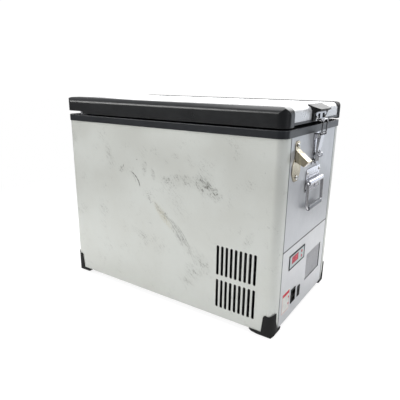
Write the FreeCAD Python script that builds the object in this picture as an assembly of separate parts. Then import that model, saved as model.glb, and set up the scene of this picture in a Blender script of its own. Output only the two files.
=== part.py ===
import FreeCAD, Part
import os
from math import sin, cos, tan, acos, radians

# Portable compressor cooler fridge, in millimetres.
# +Z is up, X runs along the length with the controls at +X, and -Y is the front long side.
# The origin is on the floor, at the middle of the whole object's outline.

V = FreeCAD.Vector

# ---------------------------------------------------------------- driving dimensions
LENGTH = 700.0            # casing, along X
WIDTH = 400.0             # casing, along Y
BODY_H = 480.0            # steel casing's height
CORNER_R = 20.0           # vertical corners of the casing
SHEET = 1.0               # casing sheet
WRAP = 36.0               # how far a side panel wraps round onto an end
SEAM = 1.2                # open seam between panels
FOOT_H = 16.0             # floor to casing
COLLAR_H = 18.0           # plastic frame round the mouth
COLLAR_OUT = 2.2          # its overhang past the casing
COLLAR_DECK = 4.0         # its top wall
COLLAR_SKIRT = 3.2        # its outer wall
LID_GAP = 4.6             # collar to lid rail
LID_H = 45.0              # lid rail
LID_OUT = 2.9             # lid's overhang past the casing
LID_END_R = 18.0          # lid's rounded top edge at both ends
LID_SIDE_R = 15.0         # lid's rounded top edge along both sides
RAIL_W = 38.0             # lid rail, measured on the end face
RAIL_WALL = 3.0
RAIL_PROUD = 1.5          # rails stand this much above the lid sheet
NOTCH_L = 70.0            # raised part of the rail's lower edge at the hinge end
NOTCH_H = 6.0
TRIM_H = 9.4              # lid underside to the lid sheet's lower edge, at the ends
TRIM_LIFT = 4.0           # lid rail's lower edge to the end trim's lower edge
WALL = 50.0               # outer face to storage cavity
FLOOR = 50.0              # casing bottom to cavity floor
LINER = 2.0               # inner liner wall
CAVITY_R = 26.0           # cavity's vertical corners
PLUG_GAP = 4.0            # lid liner's plug to the cavity wall
PLUG_DEPTH = 12.0         # how far the plug goes below the cabinet rim
GASKET_W = 8.0
GASKET_GAP = 3.5          # cavity wall to gasket
SEAL_GAP = 0.3            # between pieces that meet but move apart
FIT = 0.3                 # between pieces of one body that only lie side by side
PIN_PLAY = 0.05           # radial, pin in its hole

# compressor bay, at the control end
BAY_L = 185.0
COVER_H = 203.5           # control cover's upper edge above the casing's bottom
STEP_INSUL = 45.0         # foam between the bay and the cavity

# side vents
SLOT_W = 7.5
SLOT_PITCH = 13.17
SLOTS = 9
SLOT_END = 54.2           # casing end to the last slot's centre
SLOT_ROWS = ((27.0, 106.5), (119.0, 200.0))

# control end: places across the face are measured from the front side
DISPLAY = (82.0, 189.0, 141.0, 180.0)
DISPLAY_RIM = 3.0
DISPLAY_DEPTH = 18.0
WINDOW = (100.0, 144.0, 152.5, 173.0)
BUTTONS = (("button_up", 168.0, 167.5), ("button_down", 168.0, 153.5))
BUTTON_R = 4.0
BUTTON_OUT = 1.6
BUTTON_TRAVEL = 1.0
MESH_FROM_FRONT, MESH_FROM_REAR = 213.5, 68.0
MESH_H = 79.0
MESH_Z = 60.0
MESH_IN = 2.5             # mesh sits this far inside the cover
MESH_HOLE, MESH_PITCH = 4.2, 5.8
SOCKET = (112.5, 142.0, 35.0, 74.0)
SOCKET_DEPTH = 26.0
SWITCH = (159.0, 176.0, 34.0, 65.0)
SWITCH_DEPTH = 22.0
ROCK_DEG = 8.0
LABEL = (53.0, 101.0, 27.0, 86.0)
LABEL_T = 0.4
COVER_T = 1.2

# corner feet
FOOT_WALL = 2.5
FOOT_FACE = 28.0          # width on the side face
FOOT_SPAN = 62.0          # length under the casing
FOOT_DEEP = 50.0
FOOT_TOP, FOOT_DIP, FOOT_PEAK = 48.5, 46.5, 54.0
FOOT_ARC = 17.0           # how far its top follows the corner towards the end face
FOOT_FLARE = 12.0         # and how much further it goes at the casing's bottom

# screws
HEAD_R, HEAD_H = 4.2, 2.4
SHANK_R, SHANK_L = 2.0, 11.0

# drop handles, centred on both ends
HANDLE_TOP = 90.0         # casing top to the plate's top
PLATE_W, PLATE_H, PLATE_T = 102.0, 61.0, 2.0
BARREL_DROP = 34.0        # plate top to the bail's pivot
BARREL_OFF = 9.0          # end face to the bail's pivot
BARREL_WALL = 2.6
ROD_R = 3.75
LEG_Y = 56.0              # legs from the middle, outside the plate
BAIL_LEN = 66.0
BAIL_LEAN = 1.5
BAIL_BEND = 9.0
GRIP_R = 6.4
GRIP_L = 92.0

# bottle opener
OPENER_Y = 75.0           # from the front side
OPENER_TOP = 10.0         # casing top to the plate's top
OPENER_H, OPENER_W, OPENER_T = 95.0, 52.0, 2.0
OPENER_REACH = 33.5
HOOD_W, HOOD_T = 25.0, 2.2
OPENER_HEAD = (5.4, 4.0)  # its screws' heads, radius and height
OPENER_SCREW = 76.0       # between its two screws

# toggle latch, centred on the control end
LATCH_TOP = 2.0           # casing top to the base plate's top
LATCH_H, LATCH_W = 80.0, 34.0
LATCH_PIVOT = (13.0, 8.0)      # off the end face, below the casing top
LOOP_PIVOT = (5.5, 6.5)        # from the lever's pivot, with the lever upright
LATCH_PIN_R = 2.0
LEVER_W, LEVER_T, LEVER_L = 27.0, 1.8, 72.0
LEVER_LEAN = 8.0          # degrees, lower end towards the casing
WIRE_R = 1.75
LOOP_W, LOOP_H, LOOP_LEAN, LOOP_BEND = 38.0, 34.0, 1.5, 6.0
STAPLE_Z = 56.5           # casing top to the padlock staple
STAPLE_R = 7.0

# lid bracket and keeper
BRACKET_W = 100.0
BRACKET_TIP_W = 76.0
BRACKET_OUT = 18.0        # lip's reach past the lid's end
BRACKET_WALL = 4.0
KEEPER_W, KEEPER_T = 78.0, 2.0
KEEPER_LOW, KEEPER_TOP = 6.0, 27.0     # above the lid rail's lower edge

# hinges
HINGE_IN = 95.0           # casing side to a hinge's middle
HINGE_W = 70.0
LEAF_T, LEAF_H = 2.0, 30.0
KNUCKLE_R, HINGE_PIN_R = 4.6, 2.5

# ---------------------------------------------------------------- places worked out from them
HANDLE_REACH = BARREL_OFF + BAIL_LEAN + GRIP_R
MID_X = (HANDLE_REACH - OPENER_REACH) / 2
LEFT, RIGHT = MID_X - LENGTH / 2, MID_X + LENGTH / 2
FRONT, REAR = -WIDTH / 2, WIDTH / 2
BASE = FOOT_H
BODY_TOP = BASE + BODY_H
RIM = BODY_TOP + COLLAR_H
LID = RIM + LID_GAP
TOP = LID + LID_H
RAIL_EDGE = FRONT + RAIL_W
GASKET_IN = WALL - GASKET_W - GASKET_GAP
HINGE_Y = WIDTH / 2 - HINGE_IN
BAY_X = RIGHT - BAY_L
BAY_TOP = BASE + COVER_H
PAN_T = 1.5
PAN_TOP = BASE + PAN_T
STEP_X = BAY_X - STEP_INSUL
STEP_Z = BAY_TOP + STEP_INSUL
CAV_FLOOR = BASE + FLOOR
DECK = RIM - COLLAR_DECK
EVAP = (0.5, 8.0)         # gap to the liner, thickness over the channels
EVAP_Z = (STEP_Z + 30.0, STEP_Z + 150.0)
HINGE_X = LEFT - LID_OUT - KNUCKLE_R - 0.8
HINGE_Z = RIM + LID_GAP / 2
PIVOT_X, PIVOT_Z = RIGHT + LATCH_PIVOT[0], BODY_TOP - LATCH_PIVOT[1]
LEAN_SIN, LEAN_COS = sin(radians(LEVER_LEAN)), cos(radians(LEVER_LEAN))
LOOP_X = PIVOT_X + LOOP_PIVOT[0] * LEAN_COS + LOOP_PIVOT[1] * LEAN_SIN
LOOP_Z = PIVOT_Z - LOOP_PIVOT[0] * LEAN_SIN + LOOP_PIVOT[1] * LEAN_COS
STAPLE_X = RIGHT + 15.0
PLATE_TOP = BODY_TOP - HANDLE_TOP
BAIL_Z = PLATE_TOP - BARREL_DROP


# ---------------------------------------------------------------- helpers
def box(x0, x1, y0, y1, z0, z1):
    return Part.makeBox(x1 - x0, y1 - y0, z1 - z0, V(x0, y0, z0))


def upright_box(x0, x1, y0, y1, z0, z1, r):
    """A box with rounded vertical edges."""
    solid = box(x0, x1, y0, y1, z0, z1)
    edges = [e for e in solid.Edges if abs(e.tangentAt(e.FirstParameter).z) > 0.99]
    return solid.makeFillet(r, edges)


def casing_form(grow, z0, z1):
    """The casing's outline, grown outwards by grow, between two heights."""
    return upright_box(LEFT - grow, RIGHT + grow, FRONT - grow, REAR + grow, z0, z1, CORNER_R + grow)


def cavity_form(grow, z0, z1, x1=None):
    """The storage cavity's outline, grown outwards by grow."""
    end = RIGHT - WALL if x1 is None else x1
    return upright_box(LEFT + WALL - grow, end + grow, FRONT + WALL - grow, REAR - WALL + grow,
                       z0, z1, CAVITY_R + grow)


def cylinder(centre, axis, r, h):
    return Part.makeCylinder(r, h, V(*centre), V(*axis))


def ring(centre, axis, r_out, r_in, h):
    return cylinder(centre, axis, r_out, h).cut(cylinder(centre, axis, r_in, h))


def fuse(shapes):
    shapes = list(shapes)
    return shapes[0].multiFuse(shapes[1:]) if len(shapes) > 1 else shapes[0]


def cut(shape, tools):
    tools = list(tools)
    return shape.cut(tools[0] if len(tools) == 1 else Part.makeCompound(tools)) if tools else shape


def round_path(points, radius, closed=False):
    """Straight runs through the points, joined by tangent arcs of one radius or one per point."""
    points = [V(*p) for p in points]
    count = len(points)
    radii = radius if isinstance(radius, (list, tuple)) else [radius] * count
    stops = []
    for i, p in enumerate(points):
        if (not closed and i in (0, count - 1)) or radii[i] <= 0:
            stops.append((p, None, p))
            continue
        a = (points[i - 1] - p).normalize()
        b = (points[(i + 1) % count] - p).normalize()
        half = acos(max(-1.0, min(1.0, a.dot(b)))) / 2
        reach = radii[i] / tan(half)
        middle = p + (a + b).normalize() * (radii[i] / sin(half) - radii[i])
        stops.append((p + a * reach, middle, p + b * reach))
    edges = []
    for i, (start, middle, end) in enumerate(stops):
        if middle is not None:
            edges.append(Part.Arc(start, middle, end).toShape())
        if closed or i < count - 1:
            following = stops[(i + 1) % count][0]
            if end.distanceToPoint(following) > 1e-6:
                edges.append(Part.LineSegment(end, following).toShape())
    return Part.Wire(edges)


def plate_xz(points, radius, y0, y1):
    """An outline in XZ, extruded from y0 to y1."""
    wire = round_path([(x, y0, z) for x, z in points], radius, closed=True)
    return Part.Face(wire).extrude(V(0, y1 - y0, 0))


def plate_yz(points, radius, x0, x1):
    """An outline in YZ, extruded from x0 to x1."""
    wire = round_path([(x0, y, z) for y, z in points], radius, closed=True)
    return Part.Face(wire).extrude(V(x1 - x0, 0, 0))


def plate_xy(points, radius, z0, z1):
    """An outline in XY, extruded from z0 to z1."""
    wire = round_path([(x, y, z0) for x, y in points], radius, closed=True)
    return Part.Face(wire).extrude(V(0, 0, z1 - z0))


def rod(points, r, bend):
    """A round bar along straight runs joined by arcs."""
    path = round_path(points, bend)
    start = V(*points[0])
    section = Part.Wire(Part.makeCircle(r, start, V(*points[1]) - start))
    return path.makePipeShell([section], True, False)


def mirror_x(shape):
    """The same piece on the other end of the cabinet."""
    return shape.mirror(V(MID_X, 0, 0), V(1, 0, 0))


def mirror_y(shape):
    """The same piece on the other long side."""
    return shape.mirror(V(0, 0, 0), V(0, 1, 0))


def at_face(rect, x0, x1, grow=0.0):
    """A block over a rectangle on the control end, given from the front side and the casing's bottom."""
    y0, y1, z0, z1 = rect
    return box(x0, x1, FRONT + y0 - grow, FRONT + y1 + grow, BASE + z0 - grow, BASE + z1 + grow)


def screw(seat_x, y, z, side=1, head=(HEAD_R, HEAD_H)):
    """A pan-head screw driven into an end face: head outside seat_x, shank inwards."""
    r, h = head
    head = cylinder((seat_x, y, z), (side, 0, 0), r, h)
    rim = [e for e in head.Edges if abs(e.CenterOfMass.x - (seat_x + side * h)) < 1e-3]
    head = head.makeFillet(h * 0.7, rim)
    slot = box(seat_x + side * h - 1.0, seat_x + side * h + 1.0, y - r, y + r, z - 0.5, z + 0.5)
    return head.cut(slot).fuse(shank(seat_x, y, z, side))


def shank(seat_x, y, z, side=1):
    return cylinder((seat_x, y, z), (-side, 0, 0), SHANK_R, SHANK_L)


# ---------------------------------------------------------------- where the screws go
def handle_screw_places():
    across = PLATE_W / 2 - 7.0
    return [(sy * across, PLATE_TOP - 11.0) for sy in (-1, 1)] + \
           [(sy * across, PLATE_TOP - PLATE_H + 7.0) for sy in (-1, 1)]


def opener_screw_places():
    top = BODY_TOP - OPENER_TOP - (OPENER_H - OPENER_SCREW) / 2
    return [(FRONT + OPENER_Y, top), (FRONT + OPENER_Y, top - OPENER_SCREW)]


def latch_screw_places():
    low = BODY_TOP - LATCH_TOP - LATCH_H + 7.0
    return [(sy * 10.0, low) for sy in (-1, 1)]


def hinge_screw_places():
    return [(sy * HINGE_Y + dy, BODY_TOP - 12.0) for sy in (-1, 1) for dy in (-22.0, 22.0)]


def cabinet_shanks():
    right = [shank(RIGHT + PLATE_T, y, z) for y, z in handle_screw_places()]
    right += [shank(RIGHT + OPENER_T, y, z) for y, z in opener_screw_places()]
    right += [shank(RIGHT + PLATE_T, y, z) for y, z in latch_screw_places()]
    left = [shank(LEFT - PLATE_T, y, z, -1) for y, z in handle_screw_places()]
    left += [shank(LEFT - LEAF_T, y, z, -1) for y, z in hinge_screw_places()]
    return right + left


def keeper_rivet_places():
    return [(sy * (KEEPER_W / 2 - 6.0), LID + 14.0) for sy in (-1, 1)]


def lid_leaf_screw_places():
    return [(sy * HINGE_Y + dy, LID + 22.0) for sy in (-1, 1) for dy in (-22.0, 22.0)]


def lid_shanks():
    seat = RIGHT + LID_OUT + BRACKET_WALL + KEEPER_T
    right = [shank(seat, y, z) for y, z in keeper_rivet_places()]
    left = [shank(LEFT - LID_OUT - LEAF_T, y, z, -1) for y, z in lid_leaf_screw_places()]
    return right + left


# ---------------------------------------------------------------- casing
def casing_shell():
    return casing_form(0, BASE, BODY_TOP).cut(casing_form(-SHEET, BASE, BODY_TOP))


def vent_slots():
    """Upright slots with round ends, cut through the front sheet."""
    slots = []
    for i in range(SLOTS):
        x = RIGHT - SLOT_END - (SLOTS - 1 - i) * SLOT_PITCH
        for low, high in SLOT_ROWS:
            r = SLOT_W / 2
            points = [(x - r, BASE + low), (x + r, BASE + low), (x + r, BASE + high), (x - r, BASE + high)]
            slots.append(plate_xz(points, r * 0.98, FRONT - 1.0, FRONT + SHEET + 1.0))
    return slots


def front_side_panel():
    keep = box(LEFT - 1, RIGHT + 1, FRONT - 1, FRONT + WRAP, BASE, BODY_TOP)
    return cut(casing_shell().common(keep), vent_slots())


def end_panel(z0, x0, x1):
    return box(x0, x1, FRONT + WRAP + SEAM, REAR - WRAP - SEAM, z0, BODY_TOP)


def end_panel_left():
    return cut(end_panel(BASE, LEFT, LEFT + SHEET), cabinet_shanks())


def end_panel_right():
    return cut(end_panel(BAY_TOP + SEAM, RIGHT - SHEET, RIGHT), cabinet_shanks())


def control_cover():
    """Removable cover over the controls, with its cut-outs and rounded upper corners."""
    y0, y1 = FRONT + WRAP + SEAM, REAR - WRAP - SEAM
    sheet = plate_yz([(y0, BASE), (y1, BASE), (y1, BAY_TOP), (y0, BAY_TOP)], [0, 0, 5, 5],
                     RIGHT - COVER_T, RIGHT)
    holes = [at_face(DISPLAY, RIGHT - COVER_T, RIGHT, -DISPLAY_RIM),
             at_face(SOCKET, RIGHT - COVER_T, RIGHT, -1.5),
             at_face(SWITCH, RIGHT - COVER_T, RIGHT, -1.0),
             at_face(mesh_rect(), RIGHT - COVER_T, RIGHT)]
    return cut(sheet, holes)


def base_pan():
    """Bottom sheet with an upturned edge and air slots under the compressor bay."""
    form = casing_form(-SHEET - 0.2, BASE, BASE + 15.0)
    pan = form.cut(casing_form(-SHEET - 0.2 - PAN_T, PAN_TOP, BASE + 16.0))
    slots = []
    for i in range(7):
        x = BAY_X + 30.0 + i * 20.0
        points = [(x - 4, -60), (x + 4, -60), (x + 4, 60), (x - 4, 60)]
        slots.append(plate_xy(points, 3.9, BASE - 1, PAN_TOP + 1))
    return cut(pan, slots)


def top_collar():
    """Plastic frame round the mouth: an outer skirt and a deck that the gasket closes on."""
    block = casing_form(COLLAR_OUT, BODY_TOP, RIM)
    outside = [e for e in block.Edges if abs(e.CenterOfMass.z - RIM) < 1e-3]
    block = block.makeFillet(1.8, outside)
    pocket = casing_form(COLLAR_OUT - COLLAR_SKIRT, BODY_TOP, DECK)
    return block.cut(pocket).cut(cavity_form(0, BODY_TOP, RIM))


def liner_form(grow, floor, step, top):
    """The stepped tub: deep part on the left, shallow part over the compressor bay."""
    deep = cavity_form(grow, floor, top, STEP_X)
    shallow = cavity_form(grow, step, top)
    return deep.fuse(shallow)


def inner_liner():
    outer = liner_form(LINER, CAV_FLOOR - LINER, STEP_Z - LINER, DECK)
    return outer.cut(liner_form(0, CAV_FLOOR, STEP_Z, DECK + 1)).removeSplitter()


def evaporator_envelope():
    return cavity_form(LINER + EVAP[1], EVAP_Z[0], EVAP_Z[1])


def evaporator():
    """Sheet wrapped round the liner with refrigerant channels on its outside."""
    inside = LINER + EVAP[0]
    sheet = cavity_form(inside + 1.5, EVAP_Z[0], EVAP_Z[1])
    channels = []
    for i in range(4):
        z = EVAP_Z[0] + 12.0 + i * 28.0
        channels.append(cavity_form(LINER + EVAP[1], z, z + 8.0))
    return fuse([sheet] + channels).cut(cavity_form(inside, EVAP_Z[0] - 1, EVAP_Z[1] + 1))


def foam_risers():
    """Channels in the foam for the two tubes that go up to the evaporator."""
    return [cylinder((x, y, BAY_TOP - 1), (0, 0, 1), r, EVAP_Z[0] - BAY_TOP + 20.0)
            for x, y, r in riser_places()]


def riser_places():
    y = REAR - WALL + LINER + EVAP[1] + 5.0
    return [(BAY_X + 40.0, y, 3.4), (BAY_X + 60.0, y, 3.4)]


def insulation_foam():
    body = casing_form(-SHEET - 0.2, PAN_TOP + 0.2, BODY_TOP)
    neck = casing_form(COLLAR_OUT - COLLAR_SKIRT - 0.2, BODY_TOP, DECK)
    body = body.cut(casing_form(-SHEET, BASE, BASE + 16.0).cut(
        casing_form(-SHEET - 0.4 - PAN_T, BASE, BASE + 16.0)))
    body = body.fuse(neck)
    tools = [liner_form(LINER, CAV_FLOOR - LINER, STEP_Z - LINER, DECK + 1), evaporator_envelope()]
    tools += [box(BAY_X, RIGHT + 1, FRONT - 1, REAR + 1, BASE - 1, BAY_TOP + SEAM)]
    tools += cabinet_shanks() + foam_risers()
    for tool in tools:
        body = body.cut(tool)
    return max(body.Solids, key=lambda s: s.Volume)


# ---------------------------------------------------------------- corner feet
def corner_foot():
    """Front right foot: a pad under the casing and a guard round its lower corner."""
    edge = RIGHT + FOOT_WALL
    form = casing_form(FOOT_WALL, 0, BASE + FOOT_PEAK + 5.0)
    near = box(RIGHT - FOOT_SPAN, edge, FRONT - FOOT_WALL, FRONT + FOOT_DEEP, 0, BASE)
    pad = form.common(near)
    sole = [(RIGHT - FOOT_SPAN, BASE), (RIGHT - FOOT_SPAN + 8.0, BASE - 7.5), (RIGHT - 36.0, 0),
            (RIGHT - 8.0, 0), (edge, 9.0), (edge, BASE)]
    pad = pad.common(plate_xz(sole, [0, 14, 30, 14, 8, 0], FRONT - 10, FRONT + FOOT_DEEP + 1))
    side = [(FRONT - FOOT_WALL, BASE), (FRONT - FOOT_WALL, 11.0), (FRONT + 7.0, 0),
            (FRONT + FOOT_DEEP - 14.0, 0), (FRONT + FOOT_DEEP, BASE)]
    pad = pad.common(plate_yz(side, [0, 8, 10, 14, 0], LEFT, edge + 1))
    guard = form.cut(casing_form(0, -1, BASE + FOOT_PEAK + 6.0))
    rim, arc_y = BASE + FOOT_PEAK + 5.0, FRONT + FOOT_ARC
    flare = [(FRONT - 5.0, BASE), (arc_y + FOOT_FLARE, BASE), (arc_y + FOOT_FLARE * 0.75, BASE + 12.0),
             (arc_y + 1.0, BASE + 30.0), (arc_y, rim), (FRONT - 5.0, rim)]
    guard = guard.common(plate_yz(flare, [0, 3, 14, 16, 0, 0], RIGHT - FOOT_FACE - 3.0, edge + 1))
    lean = 3.0
    top = [V(RIGHT - FOOT_FACE + lean + 7.0, 0, BASE + FOOT_TOP), V(RIGHT - 12.0, 0, BASE + FOOT_DIP),
           V(RIGHT - 5.0, 0, BASE + FOOT_DIP + 2.8), V(edge, 0, BASE + FOOT_PEAK)]
    curve = Part.BSplineCurve()
    curve.interpolate(top)
    outline = Part.Wire([
        curve.toShape(),
        Part.LineSegment(top[3], V(edge, 0, BASE)).toShape(),
        Part.LineSegment(V(edge, 0, BASE), V(RIGHT - FOOT_FACE - 1.0, 0, BASE)).toShape(),
        Part.LineSegment(V(RIGHT - FOOT_FACE - 1.0, 0, BASE),
                         V(RIGHT - FOOT_FACE + lean, 0, BASE + FOOT_TOP - 7.0)).toShape(),
        Part.Arc(V(RIGHT - FOOT_FACE + lean, 0, BASE + FOOT_TOP - 7.0),
                 V(RIGHT - FOOT_FACE + lean + 2.2, 0, BASE + FOOT_TOP - 2.0), top[0]).toShape()])
    window = Part.Face(outline)
    window.translate(V(0, FRONT - 6, 0))
    guard = guard.common(window.extrude(V(0, 6 + FOOT_DEEP, 0)))
    return pad.fuse(guard).removeSplitter()


# ---------------------------------------------------------------- controls
def mesh_rect():
    return (MESH_FROM_FRONT, WIDTH - MESH_FROM_REAR, MESH_Z, MESH_Z + MESH_H)


def vent_mesh():
    """Perforated sheet in a shallow tray behind the cover's opening."""
    y0, y1, z0, z1 = mesh_rect()
    back = RIGHT - COVER_T
    tray = at_face(mesh_rect(), back - MESH_IN - 1.0, back, 4.0)
    tray = tray.cut(at_face(mesh_rect(), back - MESH_IN, back))
    holes = []
    rows, columns = int((z1 - z0) / MESH_PITCH) - 1, int((y1 - y0) / MESH_PITCH) - 1
    for i in range(columns):
        for j in range(rows):
            y = FRONT + (y0 + y1) / 2 + (i - (columns - 1) / 2) * MESH_PITCH
            z = BASE + (z0 + z1) / 2 + (j - (rows - 1) / 2) * MESH_PITCH
            half = MESH_HOLE / 2
            holes.append(box(back - MESH_IN - 2, back - MESH_IN + 1, y - half, y + half,
                             z - half, z + half))
    return cut(tray, holes)


def display_bezel():
    """Thin dark frame on the cover, round the display."""
    frame = at_face(DISPLAY, RIGHT, RIGHT + 1.4)
    rim = [e for e in frame.Edges if abs(e.CenterOfMass.x - RIGHT - 1.4) < 1e-3]
    frame = frame.makeFillet(0.7, rim)
    return frame.cut(at_face(DISPLAY, RIGHT - 1, RIGHT + 2, -DISPLAY_RIM))


def button_places():
    return [(name, FRONT + y, BASE + z) for name, y, z in BUTTONS]


def display_housing():
    """Box behind the bezel with a pale face, a window opening and two button holes."""
    body = at_face(DISPLAY, RIGHT - DISPLAY_DEPTH, RIGHT + 0.6, -DISPLAY_RIM - 0.1)
    hollow = at_face(DISPLAY, RIGHT - DISPLAY_DEPTH, RIGHT - 1.4, -DISPLAY_RIM - 2.1)
    tools = [hollow, at_face(WINDOW, RIGHT - 2, RIGHT + 1)]
    tools += [cylinder((RIGHT - 2, y, z), (1, 0, 0), BUTTON_R + SEAL_GAP, 4) for _, y, z in button_places()]
    return cut(body, tools)


def display_window():
    return at_face(WINDOW, RIGHT - 1.4, RIGHT + 0.4)


def button(y, z):
    cap = cylinder((RIGHT - 1.0, y, z), (1, 0, 0), BUTTON_R, 1.0 + BUTTON_OUT)
    rim = [e for e in cap.Edges if abs(e.CenterOfMass.x - RIGHT - BUTTON_OUT) < 1e-3]
    stem = cylinder((RIGHT - 4.0, y, z), (1, 0, 0), 1.5, 3.2)
    flange = cylinder((RIGHT - 2.7, y, z), (1, 0, 0), BUTTON_R + 1.2, 0.9)
    neck = cylinder((RIGHT - 2.0, y, z), (1, 0, 0), BUTTON_R - 0.2, 1.2)
    return fuse([cap.makeFillet(0.6, rim), neck, flange, stem])


def control_board():
    """Circuit board behind the display, with two switches under the buttons."""
    back = RIGHT - DISPLAY_DEPTH + 8.0
    board = at_face(DISPLAY, back - 1.6, back, -DISPLAY_RIM - 2.6)
    lamp = at_face(WINDOW, back, RIGHT - 1.8, 0.5)
    switches = [box(back, RIGHT - 4.0 - BUTTON_TRAVEL - SEAL_GAP, y - 3, y + 3, z - 3, z + 3)
                for _, y, z in button_places()]
    return fuse([board, lamp] + switches)


def power_socket():
    """Flanged inlet housing with a mains recess above and a low-voltage recess below."""
    flange = at_face(SOCKET, RIGHT, RIGHT + 1.8)
    rim = [e for e in flange.Edges if abs(e.CenterOfMass.x - RIGHT - 1.8) < 1e-3]
    flange = flange.makeFillet(0.8, rim)
    body = at_face(SOCKET, RIGHT - SOCKET_DEPTH, RIGHT, -1.6)
    return cut(flange.fuse(body), socket_recesses())


def socket_recess_rects():
    y0, y1, z0, z1 = SOCKET
    return (y0 + 4.5, y1 - 4.5, z1 - 20.0, z1 - 4.0), (y0 + 5.5, y1 - 5.5, z0 + 4.0, z0 + 16.0)


def socket_recesses():
    return [at_face(rect, RIGHT - SOCKET_DEPTH + 6.0, RIGHT + 3) for rect in socket_recess_rects()]


def socket_pins():
    """Contact pins standing in both recesses."""
    upper, lower = socket_recess_rects()
    back = RIGHT - SOCKET_DEPTH + 6.0
    pins = []
    for rect, count in ((upper, 3), (lower, 2)):
        y0, y1, z0, z1 = rect
        for i in range(count):
            y = FRONT + y0 + (y1 - y0) * (i + 1) / (count + 1)
            z = BASE + (z0 + z1) / 2
            pins.append(box(back, back + 13.0, y - 0.9, y + 0.9, z - 2.2, z + 2.2))
    return Part.makeCompound(pins)


def switch_axis():
    return RIGHT - 3.0, BASE + (SWITCH[2] + SWITCH[3]) / 2


def switch_housing():
    flange = at_face(SWITCH, RIGHT, RIGHT + 1.4)
    body = at_face(SWITCH, RIGHT - SWITCH_DEPTH, RIGHT, -1.1)
    well = at_face(SWITCH, RIGHT - SWITCH_DEPTH + 8.0, RIGHT + 2, -2.6)
    x, z = switch_axis()
    pivot = cylinder((x, FRONT + SWITCH[0] + 1.2, z), (0, 1, 0), 1.5, SWITCH[1] - SWITCH[0] - 2.4)
    return flange.fuse(body).cut(well).fuse(pivot)


def switch_rocker():
    """Shallow V-faced rocker on a cross pin."""
    x, z = switch_axis()
    y0, y1 = FRONT + SWITCH[0] + 2.9, FRONT + SWITCH[1] - 2.9
    half = (SWITCH[3] - SWITCH[2]) / 2 - 3.6
    points = [(x - 3.5, z - 5), (x + 2.0, z - half), (x + 4.4, z - half), (x + 3.0, z), (x + 4.4, z + half),
              (x + 2.0, z + half), (x - 3.5, z + 5)]
    body = plate_xz(points, 0.5, y0, y1)
    return body.cut(cylinder((x, y0 - 1, z), (0, 1, 0), 1.5 + PIN_PLAY, y1 - y0 + 2))


def label_plate():
    return at_face(LABEL, RIGHT, RIGHT + LABEL_T)


# ---------------------------------------------------------------- cooling unit
COMP_R, COMP_H = 58.0, 128.0
COMP_X, COMP_Y, COMP_Z = RIGHT - 92.0, 34.0, PAN_TOP + 10.0
COND_Y = (FRONT + SHEET + 9.0, FRONT + SHEET + 47.0)
COND_X = (BAY_X + 12.0, RIGHT - 30.0)
COND_Z = (PAN_TOP + 6.0, BAY_TOP - 12.0)
FAN_R = 54.0
FAN_Y = (COND_Y[1] + 2.0, COND_Y[1] + 27.0)
FAN_X, FAN_Z = (COND_X[0] + COND_X[1]) / 2, PAN_TOP + 68.0


def compressor():
    """Welded steel shell with four feet and a process stub."""
    shell = cylinder((COMP_X, COMP_Y, COMP_Z + 4.0), (0, 0, 1), COMP_R, COMP_H)
    shell = shell.makeFillet(34.0, [e for e in shell.Edges if e.CenterOfMass.z > COMP_Z + COMP_H])
    shell = shell.makeFillet(18.0, [e for e in shell.Edges if abs(e.CenterOfMass.z - COMP_Z - 4.0) < 1e-3])
    seam = cylinder((COMP_X, COMP_Y, COMP_Z + 62.0), (0, 0, 1), COMP_R + 2.0, 5.0)
    plate = upright_box(COMP_X - 58, COMP_X + 58, COMP_Y - 52, COMP_Y + 52, COMP_Z, COMP_Z + 4.0 + 3.0, 9)
    holes = [cylinder((x, y, COMP_Z - 1), (0, 0, 1), 5.0, 12) for x, y in mount_places()]
    x, y, z = suction_port()
    port = cylinder((x, y, COMP_Z + 60.0), (0, 0, 1), 4.5, z - COMP_Z - 60.0)
    return cut(fuse([shell, seam, plate, port]), holes)


def suction_port():
    """Upper end of the compressor's suction stub."""
    return riser_places()[1][0], COMP_Y + 20.0, COMP_Z + COMP_H + 8.0


def mount_places():
    return [(COMP_X + sx * 48.0, COMP_Y + sy * 42.0) for sx in (-1, 1) for sy in (-1, 1)]


def compressor_mounts():
    """Rubber grommets between the pan and the compressor's plate."""
    mounts = []
    for x, y in mount_places():
        foot = cylinder((x, y, PAN_TOP), (0, 0, 1), 9.0, 10.0)
        neck = cylinder((x, y, PAN_TOP + 10.0), (0, 0, 1), 4.8, 8.0)
        mounts.append(foot.fuse(neck).cut(cylinder((x, y, PAN_TOP), (0, 0, 1), 2.5, 20.0)))
    return Part.makeCompound(mounts)


def compressor_electronics():
    """Motor controller with cooling ribs, beside the compressor."""
    x1 = COMP_X - COMP_R - 4.0
    x0 = x1 - 22.0
    body = box(x0, x1, COMP_Y - 45, COMP_Y + 45, PAN_TOP + 20.0, PAN_TOP + 100.0)
    ribs = [box(x0 - 4.0, x0, COMP_Y - 40 + i * 10.0, COMP_Y - 38 + i * 10.0,
                PAN_TOP + 24.0, PAN_TOP + 96.0) for i in range(9)]
    return fuse([body] + ribs)


def condenser():
    """Finned coil behind the front vents."""
    fins = []
    count = 24
    for i in range(count):
        x = COND_X[0] + i * (COND_X[1] - COND_X[0] - 1.0) / (count - 1)
        fins.append(box(x, x + 1.0, COND_Y[0], COND_Y[1], COND_Z[0], COND_Z[1]))
    tubes = []
    rows = 6
    for i in range(rows):
        z = COND_Z[0] + 16.0 + i * (COND_Z[1] - COND_Z[0] - 32.0) / (rows - 1)
        for y in (COND_Y[0] + 10.0, COND_Y[1] - 10.0):
            tubes.append(cylinder((COND_X[0] - 4.0, y, z), (1, 0, 0), 4.0, COND_X[1] - COND_X[0] + 8.0))
    return fuse(fins + tubes)


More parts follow.
